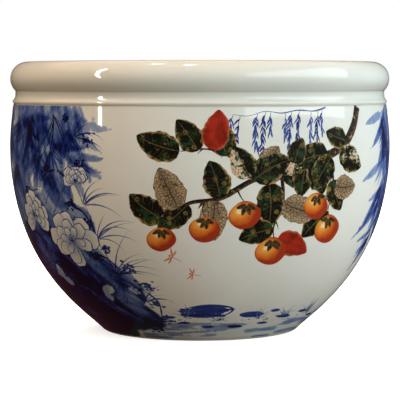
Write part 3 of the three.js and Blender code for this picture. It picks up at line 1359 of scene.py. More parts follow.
@dataclass
class Bank:
    """A low bank round the foot: pale ground washes, tufts of grass, moss dots and a few flat stones."""

    anchor: Anchor
    reach: tuple[float, float]
    tufts: tuple[tuple[float, float, float], ...]
    stones: tuple[tuple[float, float, float, float], ...]
    seed: int = 31
    moss_dots: int = 6

    def wash(self, x: Array, y: Array) -> Array:
        """The density of the ground washes.

        Args:
            x: Distances to the right of the anchor, in metres.
            y: Distances up the wall from it.

        Returns:
            The density at each place.
        """
        line = (Grain(self.seed, 55 * MM).at(x, 0.2) - 0.5) * 26 * MM
        drift = Grain(self.seed + 1, 14 * MM).at(x * 0.35, y * 2.4)
        band = step_up(y, 10 * MM, -2 * MM) * step_up(y - line, 9 * MM, -6 * MM)
        ends = step_up(x, self.reach[0] * MM, (self.reach[0] + 40) * MM)
        ends = ends * step_up(x, self.reach[1] * MM, (self.reach[1] - 40) * MM)
        return np.clip(band * ends * (0.02 + 0.26 * step_up(drift, 0.50, 0.78)), 0.0, 0.30)

    def strokes(self, film: Film) -> None:
        """Paints the stones, then the grass and the moss dots.

        Args:
            film: The film to paint on.
        """
        rng = film.begin(self.anchor, self.seed)
        for x, y, across, up in self.stones:
            film.dab((x, y), (across, up), rng.uniform(-4, 4), 0.80, 0, rough=0.02, sides=40)
            for _ in range(int(2 + across / 4)):
                lean, share = rng.uniform(0, math.tau), math.sqrt(rng.random()) * 0.7
                spot = (x + across * (math.cos(lean) * share - 0.5) * 0.5,
                        y + up * math.sin(lean) * share * 0.5)
                crack = sweep(spot, rng.normal(0, 4), across * 0.45, rng.uniform(-8, 8))
                film.stroke(crack, up * rng.uniform(0.14, 0.30), Pressure.DASH,
                            (rng.uniform(0.75, 1.05),) * 2, 1, sway=0.25)
        for x, y, size in self.tufts:
            for _ in range(int(5 + size / 4)):
                heading = 90 + rng.normal(0, 26)
                path = sweep((x + rng.normal(0, 2.5), y + rng.normal(0, 1)), heading,
                             size * rng.uniform(0.55, 1.1), (heading - 90) * 1.1, 2.0)
                tone = rng.uniform(0.45, 0.9)
                film.stroke(path, rng.uniform(0.9, 1.5), Pressure.GRASS, (tone, tone * 0.6), 1)
            for _ in range(self.moss_dots):
                spot = (x + rng.normal(0, size * 0.5), y + rng.normal(0, 2.4))
                film.dab(spot, (rng.uniform(1.6, 3.4), rng.uniform(1.1, 2.0)), rng.uniform(-30, 30),
                         rng.uniform(0.6, 1.0), 2, rough=0.08, rings=2)


@dataclass
class Dragonflies:
    """Two small dragonflies in iron red: place, heading in degrees and size.

    A wing is its side, its spread in degrees, and its length as a share of the size.
    """

    anchor: Anchor
    places: tuple[tuple[float, float, float, float], ...]
    wings: tuple[tuple[int, float, float], ...] = (
        (1, 62, 0.72), (-1, 62, 0.72), (1, 98, 0.62), (-1, 98, 0.62))
    joints: int = 5

    def strokes(self, film: Film) -> None:
        """Paints each with a body of joints, a head and two pairs of wings.

        Args:
            film: The film to paint on.
        """
        film.begin(self.anchor, 0)
        for x, y, heading, size in self.places:
            axis = np.array([math.cos(math.radians(heading)), math.sin(math.radians(heading))])
            tail = np.array([x, y]) - axis * size * 0.5
            for joint in range(self.joints):
                part = sweep(tail + axis * size * 0.15 * joint, heading, size * 0.14, 0.0, 1.0)
                film.stroke(part, 1.0 + 0.12 * joint, Pressure.DASH, (0.9, 0.9), seed=0.0)
            film.dab(tail + axis * size * 0.86, (2.6, 2.4), heading, 1.0, 1, seed=0.0)
            shoulder = tail + axis * size * 0.68
            for side, spread, length in self.wings:
                wing = sweep(shoulder, heading + side * spread, size * length, -side * 10, 1.5)
                film.stroke(wing, size * 0.14, Pressure.BROAD, (0.34, 0.5), 1, seed=0.0)


@dataclass(frozen=True)
class Enamel(Glaze):
    """An opaque overglaze enamel, which lies a little glossy and uneven on the glaze."""

    roughness: float = 0.14
    peel_height: float = 0.012 * MM

    def mottled(self, desk: NodeDesk, size: float, detail: float = 4.0) -> Wire:
        """Noise that differs from mark to mark."""
        return desk.noise(size, detail, shift=desk.attribute("seed") * 40.0)

    def edge(self, desk: NodeDesk) -> Wire:
        """How near a brush mark's long edges are: 0 in the middle and 1 on them."""
        return abs(desk.attribute("across"))


@dataclass(frozen=True)
class LeafEnamel(Enamel):
    """Mottled autumn leaves: dark olive to near black, with green and ochre clouds and a pale fringe.

    The mark's "tint" picks the kind: below 0.4 mottled, below 0.75 beige under a dark net, else vermilion.
    """

    inks: Stops = (
        (0.45, (0.0045, 0.0045, 0.0030)),
        (0.51, (0.0095, 0.0115, 0.0045)),
        (0.545, (0.022, 0.030, 0.0095)),
        (0.58, (0.070, 0.062, 0.014)),
        (0.63, (0.19, 0.145, 0.032)),
        (0.70, (0.30, 0.20, 0.06)),
    )
    pale: Stops = (
        (0.36, (0.010, 0.050, 0.018)),
        (0.43, (0.085, 0.13, 0.055)),
        (0.48, (0.50, 0.46, 0.34)),
        (0.56, (0.56, 0.50, 0.36)),
        (0.61, (0.52, 0.24, 0.055)),
        (0.68, (0.40, 0.12, 0.024)),
    )
    green: Colour = (0.010, 0.042, 0.014)
    blotch: tuple[Colour, ...] = ((0.055, 0.036, 0.010), (0.19, 0.145, 0.030), (0.095, 0.080, 0.018))
    fringe: Colour = (0.50, 0.33, 0.15)
    glow: Colour = (0.42, 0.13, 0.022)
    beige: Colour = (0.37, 0.27, 0.155)
    net: Colour = (0.040, 0.026, 0.012)
    red: Colour = (0.34, 0.020, 0.008)

    def paint(self, desk: NodeDesk, ground: Wire) -> Wire:
        """Colours the leaves.

        Args:
            desk: The material's desk.
            ground: The glaze's own colour, which the enamel hides.

        Returns:
            The colour.
        """
        along, edge = desk.attribute("along"), self.edge(desk)
        across, tint = desk.attribute("across"), desk.attribute("tint")
        cloud = self.mottled(desk, 13 * MM, 5.0)
        fine = self.mottled(desk, 2.6 * MM, 3.0)
        share = cloud * 0.72 + fine * 0.26 + edge * edge * 0.10 - 0.055
        leafy = self.mottled(desk, 9 * MM, 3.0).ramp(0.54, 0.62) * 0.75
        mottled = desk.colours(share, self.inks).towards(self.green, leafy)
        shift = desk.attribute("seed") * 30.0
        away = desk.spots(8.5 * MM, "Distance", shift) + (fine - 0.5) * 0.22
        chance = desk.node("ShaderNodeSeparateColor", {}, {0: desk.spots(8.5 * MM, "Color", shift)})
        blotch = away.ramp(0.40, 0.30) * chance.ramp(0.55, 0.59)
        eye = desk.colours(away, [(0.10, self.blotch[0]), (0.24, self.blotch[1]), (0.34, self.blotch[2])])
        mottled = mottled.towards(eye, blotch * (0.35 + self.mottled(desk, 5 * MM).ramp(0.4, 0.6) * 0.6))
        turning = desk.colours(self.mottled(desk, 4.2 * MM, 4.0), self.pale)
        half = (across * 0.5 + (cloud - 0.5) * 2.4 + (fine - 0.5) * 0.8).ramp(-0.06, 0.14)
        mottled = mottled.towards(turning, half * tint.ramp(0.29, 0.31))
        rim = (edge + (fine - 0.5) * 0.35).ramp(0.74, 0.99)
        lit = self.mottled(desk, 7 * MM, 2.0).ramp(0.42, 0.58)
        fringe = desk.node("ShaderNodeMix", {"data_type": "RGBA"}, {0: lit, 6: self.glow, 7: self.fringe}, 2)
        mottled = mottled.towards(fringe, rim * lit * 0.7)
        rib = edge.ramp(0.055, 0.02) * along.ramp(0.97, 0.9)
        slant = (along * 11.0 - edge * 1.6) % 1.0
        veins = abs(slant - 0.5).ramp(0.075, 0.02) * edge.ramp(0.95, 0.7) * along.ramp(0.92, 0.8)
        mottled = mottled.towards(dimmed(self.fringe, 0.26), (veins * lit * 0.4 + rib * 0.6).clamped())
        cell = desk.node("ShaderNodeTexVoronoi", {"feature": "DISTANCE_TO_EDGE"}, {
            "Vector": desk.place() / (3.1 * MM) + desk.attribute("seed") * 20.0, "Scale": 1.0}, "Distance")
        mesh_line = cell.ramp(0.13, 0.045)
        spread = (edge + (cloud - 0.5) * 0.5).ramp(0.2, 1.0)
        beige = desk.colours(spread, [(0.0, dimmed(self.beige, 0.62)), (0.6, self.beige)])
        netted = beige.towards(self.net, (mesh_line * 0.85 + rib + edge.ramp(0.93, 0.99) * 0.7).clamped())
        glare = desk.colours(cloud, [(0.35, dimmed(self.red, 0.45)), (0.6, self.red)])
        red = glare.towards(self.fringe, rim * 0.3).towards(self.net, (veins * 0.5 + rib * 0.6).clamped())
        return mottled.towards(netted, tint.ramp(0.39, 0.41)).towards(red, tint.ramp(0.74, 0.76))


@dataclass(frozen=True)
class FruitEnamel(Enamel):
    """Ripe persimmons: deep orange under a red blush, with a cream gleam."""

    orange: Colour = (0.60, 0.16, 0.018)
    blush: Colour = (0.30, 0.030, 0.008)
    gold: Colour = (0.68, 0.33, 0.055)
    gleam: Colour = (0.80, 0.62, 0.36)

    def paint(self, desk: NodeDesk, ground: Wire) -> Wire:
        """Colours the fruit.

        Args:
            desk: The material's desk.
            ground: The glaze's own colour, which the enamel hides.

        Returns:
            The colour.
        """
        up, side = desk.attribute("along"), desk.attribute("across")
        fine = self.mottled(desk, 2.2 * MM, 3.0)
        cloud = self.mottled(desk, 11 * MM, 3.0)
        lit = ((side + 0.32) * (side + 0.32) + (up - 0.34) * (up - 0.34)) ** 0.5 + (fine - 0.5) * 0.16
        share = lit + (cloud - 0.5) * 0.5
        colour = desk.colours(share, [(0.06, self.gleam), (0.22, self.gold), (0.62, self.orange),
                                      (1.05, self.blush)])
        distance = (side * side + up * up) ** 0.5
        seam = abs(side + up * 0.12).ramp(0.07, 0.0) * distance.ramp(0.2, 0.8) * 0.35
        return colour.towards(self.blush, (distance.ramp(0.86, 1.0) * 0.7 + seam).clamped())


@dataclass(frozen=True)
class BarkEnamel(Enamel):
    """Rough dark bark with ochre and grey lichen."""

    dark: Colour = (0.012, 0.008, 0.006)
    brown: Colour = (0.075, 0.036, 0.016)
    lichen: Colour = (0.27, 0.22, 0.115)
    roughness: float = 0.22

    def paint(self, desk: NodeDesk, ground: Wire) -> Wire:
        """Colours the bark.

        Args:
            desk: The material's desk.
            ground: The glaze's own colour, which the enamel hides.

        Returns:
            The colour.
        """
        across = desk.attribute("across")
        crack = desk.noise(3.4 * MM, 4.0)
        cloud = desk.noise(10 * MM, 3.0)
        share = crack * 0.7 + cloud * 0.2 + across * 0.20
        colour = desk.colours(share, [(0.38, self.dark), (0.62, self.brown), (0.80, self.lichen)])
        return colour.towards(self.lichen, desk.noise(6 * MM, 3.0).ramp(0.60, 0.68) * 0.8)


@dataclass(frozen=True)
class CalyxEnamel(Enamel):
    """The persimmons' calyx leaves and stalks, dark olive with a dry ochre edge."""

    dark: Colour = (0.013, 0.014, 0.006)
    dry: Colour = (0.26, 0.165, 0.055)

    def paint(self, desk: NodeDesk, ground: Wire) -> Wire:
        """Colours the calyx.

        Args:
            desk: The material's desk.
            ground: The glaze's own colour, which the enamel hides.

        Returns:
            The colour.
        """
        edge = self.edge(desk)
        share = self.mottled(desk, 2.4 * MM) * 0.75 + edge * 0.22
        return desk.colours(share, [(0.34, self.dark), (0.60, dimmed(self.dry, 0.4)),
                                    (0.78, self.dry)])


@dataclass(frozen=True)
class RedEnamel(Enamel):
    """Thin iron red, deeper where the brush left more of it."""

    deep: Colour = (0.36, 0.030, 0.008)
    thin: Colour = (0.72, 0.34, 0.18)

    def paint(self, desk: NodeDesk, ground: Wire) -> Wire:
        """Colours the red marks."""
        share = desk.attribute("ink") * (0.7 + self.mottled(desk, 1.6 * MM) * 0.6)
        return desk.colours(share, [(0.1, self.thin), (0.8, self.deep)])


@dataclass
class PersimmonBough:
    """A fruiting persimmon bough that reaches in from the right.

    A bough is its width and its points, a fruit its place and size, and a leaf its place, heading, length,
    width and kind.
    """

    anchor: Anchor
    boughs: tuple[tuple[float, tuple[Point, ...]], ...]
    fruits: tuple[tuple[float, float, float], ...]
    leaves: tuple[tuple[float, float, float, float, float, float], ...]
    seed: int = 41
    calyx: tuple[float, ...] = (-158, -112, -68, -22)

    def bark(self, film: Film) -> None:
        """Paints the boughs, thickest first, and a few spurs.

        Args:
            film: The film to paint on.
        """
        rng = film.begin(self.anchor, self.seed)
        for width, points in self.boughs:
            path = smooth_line(points, 2.5)
            film.stroke(path, width, Pressure.BOUGH, level=1, wide=True, sway=0.16)
            for _ in range(int(len(points) * 1.3)):
                place = int(rng.integers(2, len(path) - 4))
                way = path[place + 2] - path[place]
                heading = math.degrees(math.atan2(way[1], way[0])) + rng.choice((-1, 1)) * rng.uniform(35, 70)
                spur = sweep(path[place] / MM, heading, rng.uniform(5, 13), rng.uniform(-30, 30), 2.0)
                film.stroke(spur, width * 0.3 + 0.8, Pressure.BOUGH, sway=0.2)

    def stalks(self, film: Film) -> None:
        """Paints a thin stalk from the nearest bough to each leaf and each fruit.

        Args:
            film: The film to paint on.
        """
        rng = film.begin(self.anchor, self.seed + 4)
        lines = np.vstack([smooth_line(points) for _, points in self.boughs]) / MM
        ends = [row[:2] for row in self.leaves] + [(x, y + size * 0.36) for x, y, size in self.fruits]
        for end in np.array(ends):
            away = np.linalg.norm(lines - end, axis=1)
            start = lines[int(np.argmin(away))]
            if away.min() < 1.5:
                continue
            side = np.array([start[1] - end[1], end[0] - start[0]]) * rng.uniform(-0.2, 0.2)
            path = smooth_line([start, (start + end) / 2 + side, end])
            film.stroke(path, 2.4, Pressure.BOUGH, level=2)

    def fruit(self, film: Film) -> None:
        """Paints the fruits as broad lobed rounds.

        Args:
            film: The film to paint on.
        """
        rng = film.begin(self.anchor, self.seed + 1)
        for x, y, size in self.fruits:
            film.dab((x, y), (size, size * 0.88), rng.uniform(-12, 12), 1.0, 4,
                     lobes=4, depth=0.022, rough=0.010, rings=6)

    def calyces(self, film: Film) -> None:
        """Paints each fruit's four calyx leaves.

        Args:
            film: The film to paint on.
        """
        rng = film.begin(self.anchor, self.seed + 2)
        for x, y, size in self.fruits:
            top = (x + rng.uniform(-1, 1), y + size * 0.33)
            for heading in self.calyx:
                path = sweep(top, heading + rng.normal(0, 6), size * rng.uniform(0.30, 0.38),
                             rng.uniform(-26, 26), 1.5)
                film.stroke(path, size * 0.17, Pressure.BROAD, level=6)

    def foliage(self, film: Film) -> None:
        """Paints the leaves, the far ones first.

        Args:
            film: The film to paint on.
        """
        rng = film.begin(self.anchor, self.seed + 3)
        for number, (x, y, heading, length, width, tint) in enumerate(self.leaves):
            path = sweep((x, y), heading, length, rng.uniform(-34, 34), 2.0)
            film.stroke(path, width, Pressure.BROAD, level=2 + number % 2, wide=True, tint=tint, sway=0.07)


def arc(centre: Point, radii: Point, start: float, end: float, step: float) -> Array:
    """Points no more than a step apart on an arc from one angle to a larger one, its radii across and up."""
    angles = np.linspace(start, end, max(3, math.ceil((end - start) * max(radii) / step) + 1))
    return np.stack([centre[0] + radii[0] * np.cos(angles), centre[1] + radii[1] * np.sin(angles)], axis=1)


@dataclass
class Foot:
    """The foot ring and the dish that stands on it."""

    body: BodyCurve
    ring_height: float = 8 * MM
    ring_width: float = 20 * MM
    ring_draft: float = 1.5 * MM
    bevel: float = 1.5 * MM
    dish_edge: float = 14 * MM
    floor_thickness: float = 14 * MM
    floor_cove: float = 16 * MM
    glaze_line: float = 2.6 * MM

    @property
    def floor_top(self) -> float:
        """The height of the floor inside the bowl."""
        return self.ring_height + self.floor_thickness

    @property
    def dish_height(self) -> float:
        """The height of the joint between the dish and the wall."""
        return self.floor_top + self.dish_edge

    def sections(self) -> list[Section]:
        """Draws the outlines of both sections.

        Returns:
            The sections.
        """
        body, level, floor = self.body, self.ring_height, self.floor_top
        inner = body.foot_radius - self.ring_width
        joint = Joint(level, body.radius_at(level), inner + self.ring_draft)
        ring = [
            *Run.flats([(inner, 0.0), (body.foot_radius - self.bevel, 0.0),
                        (body.radius_at(self.bevel), self.bevel)]),
            body.wall(self.bevel, self.glaze_line, RING_STEP / 2, bare=1.0),
            body.wall(self.glaze_line, level, RING_STEP, painted=True),
            *joint.face(),
            *Run.flats([(joint.inner, level), (inner, 0.0)]),
        ]
        edge = body.joint_at(self.dish_height)
        reach = body.radius_at(floor, inner=True)
        cove = bezier([(edge.inner, self.dish_height), (reach, floor), (reach - self.floor_cove, floor)], 14)
        dish = [
            Run.along([(0.0, level), (joint.inner, level)], 6 * MM, bare=1.0),
            *joint.face(upper=True),
            body.wall(level, self.dish_height, RING_STEP, painted=True),
            *edge.face(),
            Run.along(cove),
            Run.along([cove[-1], (0.0, floor)], 8 * MM),
        ]
        return [Section("foot_ring", "bare_clay", ring), Section("base_dish", "glaze", dish)]

    def pool_and_shading_bands(self) -> list[PoolAndShadingBand]:
        """Where glaze pools round the foot and in the cove of the floor.

        Returns:
            The bands.
        """
        reach = self.body.radius_at(self.floor_top, inner=True)
        return [
            PoolAndShadingBand(self.body.radius_at(self.glaze_line), self.glaze_line, 2.2 * MM, 0.9),
            PoolAndShadingBand(reach - self.floor_cove * 0.2, self.floor_top + self.floor_cove * 0.3, 12 * MM, 0.6),
        ]


@dataclass
class Wall:
    """The lower and the upper wall."""

    body: BodyCurve
    low: float
    middle: float = 142 * MM
    groove: float = 0.8 * MM

    def sections(self) -> list[Section]:
        """Draws the outlines of both sections.

        Returns:
            The sections.
        """
        body, top = self.body, self.body.body_height
        below, between, shoulder = body.joint_at(self.low), body.joint_at(self.middle), self.shoulder_joint()
        lower = [
            *below.face(upper=True),
            body.wall(self.low, self.middle, RING_STEP, painted=True),
            *between.face(),
            body.wall(self.low, self.middle, RING_STEP * 2, inner=True),
        ]
        lip = body.wall(top - self.groove * 2, top - self.groove, RING_STEP, painted=True)
        inside_top = top - body.wall_at_shoulder
        upper = [
            *between.face(upper=True),
            body.wall(self.middle, top - self.groove * 2, RING_STEP, painted=True),
            lip,
            Run.along([lip.points[-1], (shoulder.outer, top)]),
            *shoulder.face(),
            Run.along([(shoulder.inner, top), (body.radius_at(inside_top, inner=True), inside_top)]),
            body.wall(self.middle, inside_top, RING_STEP * 2, inner=True),
        ]
        return [Section("lower_wall", "glaze", lower), Section("upper_wall", "glaze", upper)]

    def shoulder_joint(self) -> Joint:
        """The joint between the wall and the neck."""
        radius = self.body.shoulder_radius
        return Joint(self.body.body_height, radius - self.groove, radius - self.body.wall_at_shoulder)


@dataclass
class Mouth:
    """The neck band with its ridge, and the rolled rim."""

    shoulder: Joint
    shoulder_radius: float
    wall: float
    neck_height: float = 15.8 * MM
    neck_straight: float = 4.5 * MM
    neck_inset: float = 2.6 * MM
    ridge_stand: float = 0.7 * MM
    ridge_bead: float = 2.6 * MM
    bead_half: float = math.radians(50)
    ridge_lift: float = 0.6 * MM
    roll_radius: float = 20.5 * MM
    roll_over_neck: float = 6 * MM
    roll_over_wall: float = 24.1 * MM
    mouth_lift: float = 4.3 * MM
    under_pull: float = 9 * MM
    under_turn: float = math.radians(27)

    @property
    def neck_radius(self) -> float:
        """The neck's outside radius."""
        return self.shoulder_radius - self.neck_inset

    @property
    def neck_top(self) -> float:
        """The height of the joint under the roll."""
        return self.shoulder.height + self.neck_height

    @property
    def roll_centre(self) -> Point:
        """The middle of the roll's round."""
        radius = self.neck_radius + self.roll_over_neck - self.roll_radius
        return radius, self.neck_top + math.sqrt(self.roll_radius**2 - (self.neck_radius - radius) ** 2)

    def sections(self) -> list[Section]:
        """Draws the outlines of both sections.

        Returns:
            The sections.
        """
        foot, neck, top = self.shoulder.height, self.neck_radius, self.neck_top
        rim = Joint(top, neck, neck - self.wall)
        bead = arc((self.shoulder_radius + self.ridge_stand - self.ridge_bead,
                    foot + self.ridge_lift + self.ridge_bead), (self.ridge_bead,) * 2,
                   -self.bead_half, self.bead_half, 0.35 * MM)
        straight = (neck, top - self.neck_straight)
        band = [
            *self.shoulder.face(upper=True),
            Run.along([(self.shoulder.outer, foot), bead[0]]),
            Run.along(bead),
            Run.along(bezier([bead[-1], (neck, bead[-1][1] + self.ridge_bead), straight], 12)),
            Run.along([straight, (neck, top)], 1.2 * MM),
            *rim.face(),
            Run.along([(rim.inner, top), (self.shoulder.inner, foot)], RING_STEP),
        ]
        centre = self.roll_centre
        crease = math.acos((neck - centre[0]) / self.roll_radius)
        mouth_radius, mouth_height = neck - self.wall - self.roll_over_wall, centre[1] + self.mouth_lift
        round_it = np.vstack([
            arc(centre, (self.roll_radius,) * 2, -crease, math.pi / 2, RING_STEP),
            arc((centre[0], mouth_height), (centre[0] - mouth_radius, self.roll_radius - self.mouth_lift),
                math.pi / 2, math.pi, RING_STEP)[1:],
            bezier([(mouth_radius, mouth_height), (mouth_radius, mouth_height - self.under_pull),
                    (rim.inner, top + self.under_pull), (rim.inner, top)], 26)[1:],
        ])
        roll = [*rim.face(upper=True), Run.along(round_it)]
        return [Section("neck_band", "glaze", band), Section("rolled_rim", "glaze", roll)]

    def pool_and_shading_bands(self) -> list[PoolAndShadingBand]:
        """Where the glaze darkens and lightens round the neck and the roll: glaze that pools, with painted
        shade, in the groove and the crease; painted shade on the roll's underside; thin glaze, with painted
        light, on the ridge's crest and the roll's top.

        Returns:
            The bands.
        """
        foot, out, centre = self.shoulder.height, self.shoulder_radius + self.ridge_stand, self.roll_centre
        return [
            # Glaze that pools, with painted shade, in the groove under the ridge.
            PoolAndShadingBand(self.shoulder.outer, foot, 1.1 * MM, 1.6),
            # Thin glaze, with painted light, on the ridge's crest.
            PoolAndShadingBand(out, foot + self.ridge_lift + self.ridge_bead, 1.7 * MM, -1.0),
            # Glaze that pools, with painted shade, in the crease under the roll.
            PoolAndShadingBand(self.neck_radius, self.neck_top, 1.8 * MM, 0.6),
            # Painted shade on the roll's underside.
            PoolAndShadingBand(centre[0] + self.roll_radius * math.cos(self.under_turn),
                   centre[1] - self.roll_radius * math.sin(self.under_turn), 8.5 * MM, 0.62),
            # Thin glaze, with painted warm light, on the roll's top.
            PoolAndShadingBand(centre[0], centre[1] + self.roll_radius, 15 * MM, -0.45),
        ]


@dataclass
class Painting:
    """Everything painted round the outside: cobalt washes under the glaze and marks over them."""

    ground: Ground
    rocks: tuple[GardenRock, ...]
    bamboos: tuple[Bamboo, ...]
    willow: Willow
    orchids: tuple[Orchids, ...]
    bank: Bank
    flies: Dragonflies
    bough: PersimmonBough
    blossoms: Blossoms

    def wash(self, angles: Array, heights: Array) -> Array:
        """The density of all cobalt washes at angles, in radians, and at heights, in metres."""
        washed = (*self.rocks, self.bank, *self.bamboos)
        return crossed(*(motif.wash(*self.ground.spread(motif.anchor, angles, heights)) for motif in washed))

    def build(self) -> None:
        """Lays every brush mark, and makes one piece of each film."""
        ground, bough = self.ground, self.bough
        cobalt = (self.bank, *self.bamboos, *self.rocks, *self.orchids, self.willow)
        films = (
            (Film("cobalt_marks", ground, self.wash, 0.03), Glaze(), [motif.strokes for motif in cobalt]),
            (Film("white_blossoms", ground), Glaze(), [self.blossoms.strokes]),
            (Film("bough_bark", ground), BarkEnamel(), [bough.bark, bough.stalks]),
            (Film("bough_leaves", ground), LeafEnamel(), [bough.foliage]),
            (Film("persimmons", ground), FruitEnamel(), [bough.fruit]),
            (Film("calyces", ground), CalyxEnamel(), [bough.calyces]),
            (Film("iron_red_marks", ground), RedEnamel(), [self.flies.strokes]),
        )
        for film, finish, paintings in films:
            for paint in paintings:
                paint(film)
            piece = film.made()
            piece.data.materials.append(finish.material(film.name))
            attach(piece, BODY)
            log.info("%s: %d marks, %d faces", film.name, film.laid, len(piece.data.polygons))


@dataclass(frozen=True)
class Panel:
    """A rectangular lamp: its middle, the point it faces, its size, and how bright it looks."""

    name: str
    place: Place
    target: Place
    size: Point
    radiance: float
    colour: Colour

    def build(self) -> None:
        """Makes the lamp, which the cards stand in for in reflections."""
        light = bpy.data.lights.new(self.name, "AREA")
        light.shape = "RECTANGLE"
        light.size, light.size_y = self.size
        light.energy = self.radiance * math.pi * self.size[0] * self.size[1]
        light.color = self.colour
        lamp = bpy.data.objects.new(self.name, light)
        lamp.location = self.place
        way = mathutils.Vector(self.target) - mathutils.Vector(self.place)
        lamp.rotation_euler = way.to_track_quat("-Z", "Y").to_euler()
        lamp.visible_glossy = False
        bpy.context.scene.collection.objects.link(lamp)


@dataclass(frozen=True)
class Card:
    """A bright four-cornered card that only reflections show, such as a window."""

    name: str
    corners: tuple[Place, ...]
    radiance: float
    colour: Colour = WHITE

    def build(self) -> None:
        """Makes the card."""
        reflected_card(self.name, np.array(self.corners), np.arange(4)[None, :], lambda desk: self.colour,
                       self.radiance)


def reflected_card(name: str, places: Array, faces: Array,
                   shade: Callable[[NodeDesk], Feed], strength: float) -> None:
    """Makes a glowing card that only reflections show.

    Args:
        name: The card's name.
        places: Its vertices.
        faces: Its faces' corners.
        shade: Gives its colour.
        strength: How brightly it glows.
    """
    box = MeshBox(name)
    box.add_vertices(places, {})
    inward = -places / np.linalg.norm(places, axis=1, keepdims=True)
    box.add_faces(faces, inward[faces])
    card = box.made()
    card.data.materials.append(new_material(
        name, lambda desk: desk.node("ShaderNodeEmission", {}, {"Color": shade(desk), "Strength": strength})))
    card.visible_camera = card.visible_diffuse = card.visible_shadow = card.visible_transmission = False


@dataclass
class Studio:
    """The camera, the lamps, the pale floor and the world."""

    lamps: tuple[Panel, ...]
    cards: tuple[Card, ...]
    lens: float = 162.75
    sensor: float = 36.0
    eye: Place = (0.0, -2.2025, 0.302)
    tilt: float = math.radians(90 - 3.785)
    pan: float = math.radians(-0.0063)
    sight: float = 100.0
    floor_size: float = 30.0
    floor_drop: float = 0.1 * MM
    floor_white: Colour = (0.85, 0.85, 0.85)
    floor_bounce: Colour = (0.25, 0.19, 0.13)
    floor_glow: float = 0.72
    floor_fade: Point = (0.35, 1.3)
    room_sides: int = 48
    room_radius: float = 5.0
    room_height: float = 3.6
    room_low: float = 0.001
    apron_radius: float = 0.116
    room_colours: Stops = (
        (0.0, (0.022, 0.016, 0.012)), (0.5, (0.060, 0.048, 0.038)), (1.0, (0.085, 0.10, 0.11)))
    sky_colours: Stops = ((0.0, (0.55, 0.42, 0.32)), (0.5, (0.55, 0.43, 0.33)), (1.0, (0.55, 0.44, 0.35)))

    def build(self) -> None:
        """Sets the scene up round the bowl."""
        self._camera()
        self._floor()
        self._surround()
        self._world()
        for light in (*self.lamps, *self.cards):
            light.build()
        bpy.context.scene.view_settings.view_transform = "Standard"

    def _camera(self) -> None:
        """Makes the camera, at the photograph's place."""
        seen = bpy.data.cameras.new("camera")
        seen.lens, seen.sensor_width, seen.clip_end = self.lens, self.sensor, self.sight
        camera = bpy.data.objects.new("camera", seen)
        camera.location = self.eye
        camera.rotation_euler = (self.tilt, 0.0, self.pan)
        bpy.context.scene.collection.objects.link(camera)
        bpy.context.scene.camera = camera

    def _floor(self) -> None:
        """Lays a floor that looks white to the camera, keeps the shadow and bounces a mid tone."""
        half = self.floor_size / 2
        box = MeshBox("floor")
        corners = np.array([[-half, -half, 0.0], [half, -half, 0.0], [half, half, 0.0], [-half, half, 0.0]])
        box.add_vertices(corners - (0.0, 0.0, self.floor_drop), {})
        box.add_faces(np.arange(4)[None, :], np.tile([0.0, 0.0, 1.0], (4, 1)))
        floor = box.made()
        floor.data.materials.append(new_material("floor", self._floor_surface))

    def _floor_surface(self, desk: NodeDesk) -> Wire:
        """Adds the floor's nodes.

        Args:
            desk: The material's desk.

        Returns:
            The shader.
        """
        seen = seen_directly(desk)
        shade = desk.colours(seen, [(0.0, self.floor_bounce), (1.0, self.floor_white)])
        matt = desk.node("ShaderNodeBsdfDiffuse", {}, {"Color": shade})
        away = desk.node("ShaderNodeVectorMath", {"operation": "LENGTH"}, {0: desk.place()}, "Value")
        white = self.floor_glow + away.ramp(*self.floor_fade) * (1.0 - self.floor_glow)
        glow = desk.node("ShaderNodeEmission", {}, {"Color": WHITE, "Strength": seen * white})
        return desk.node("ShaderNodeAddShader", {}, {0: matt, 1: glow})

    def _surround(self) -> None:
        """Stands dim cards round the bowl, as wide as a room, and lays them on the floor there."""
        turns = np.linspace(-math.pi, math.pi, self.room_sides + 1)
        rings = [(self.room_radius, self.room_height), (self.room_radius, self.room_low),
                 (self.apron_radius, self.room_low)]
        places = np.vstack([np.stack([np.sin(turns) * radius, -np.cos(turns) * radius,
                                      np.full(len(turns), height)], axis=1) for radius, height in rings])
        number = np.arange(len(places)).reshape(len(rings), -1)
        faces = np.stack([number[:-1, 1:], number[:-1, :-1], number[1:, :-1], number[1:, 1:]], axis=-1)
        reflected_card("dim_cards", places, faces.reshape(-1, 4), self._room_shade, 1.0)

    def _room_shade(self, desk: NodeDesk) -> Wire:
        """The dim cards' colour, from left to right."""
        side = desk.node("ShaderNodeSeparateXYZ", {}, {0: desk.place()}, 0)
        return desk.colours(side / (2 * self.room_radius) + 0.5, self.room_colours)

    def _world(self) -> None:
        """White to the camera, to reflections and through glass; a soft gradient for the rest."""
        world = bpy.data.worlds.new("studio")
        bpy.context.scene.world = world
        world.use_nodes = True
        desk = NodeDesk(world.node_tree)
        way = desk.node("ShaderNodeTexCoord", {}, {}, "Generated")
        side, up = (desk.node("ShaderNodeSeparateXYZ", {}, {0: way}, axis) for axis in (0, 2))
        seen = seen_directly(desk)
        colour = desk.colours(side * 0.5 + 0.5, self.sky_colours).towards(WHITE, seen)
        strength = seen + (1.0 - seen) * (up.ramp(-0.3, 1.0) * 0.8 + 0.2)
        back = desk.node("ShaderNodeBackground", {}, {"Color": colour, "Strength": strength})
        desk.node("ShaderNodeOutputWorld", {}, {"Surface": back})


def seen_directly(desk: NodeDesk) -> Wire:
    """1 for what the camera sees, straight or in a reflection or through glass, and 0 for other light.

    Args:
        desk: The material's desk.

    Returns:
        The share.
    """
    path, mirror, glass = (desk.node("ShaderNodeLightPath", {}, {}, f"Is {ray} Ray")
                           for ray in ("Camera", "Glossy", "Transmission"))
    return path.most(mirror).most(glass)


def each(kind: type, *rows: tuple) -> tuple:
    """One thing of a kind from each row of values."""
    return tuple(kind(*row) for row in rows)


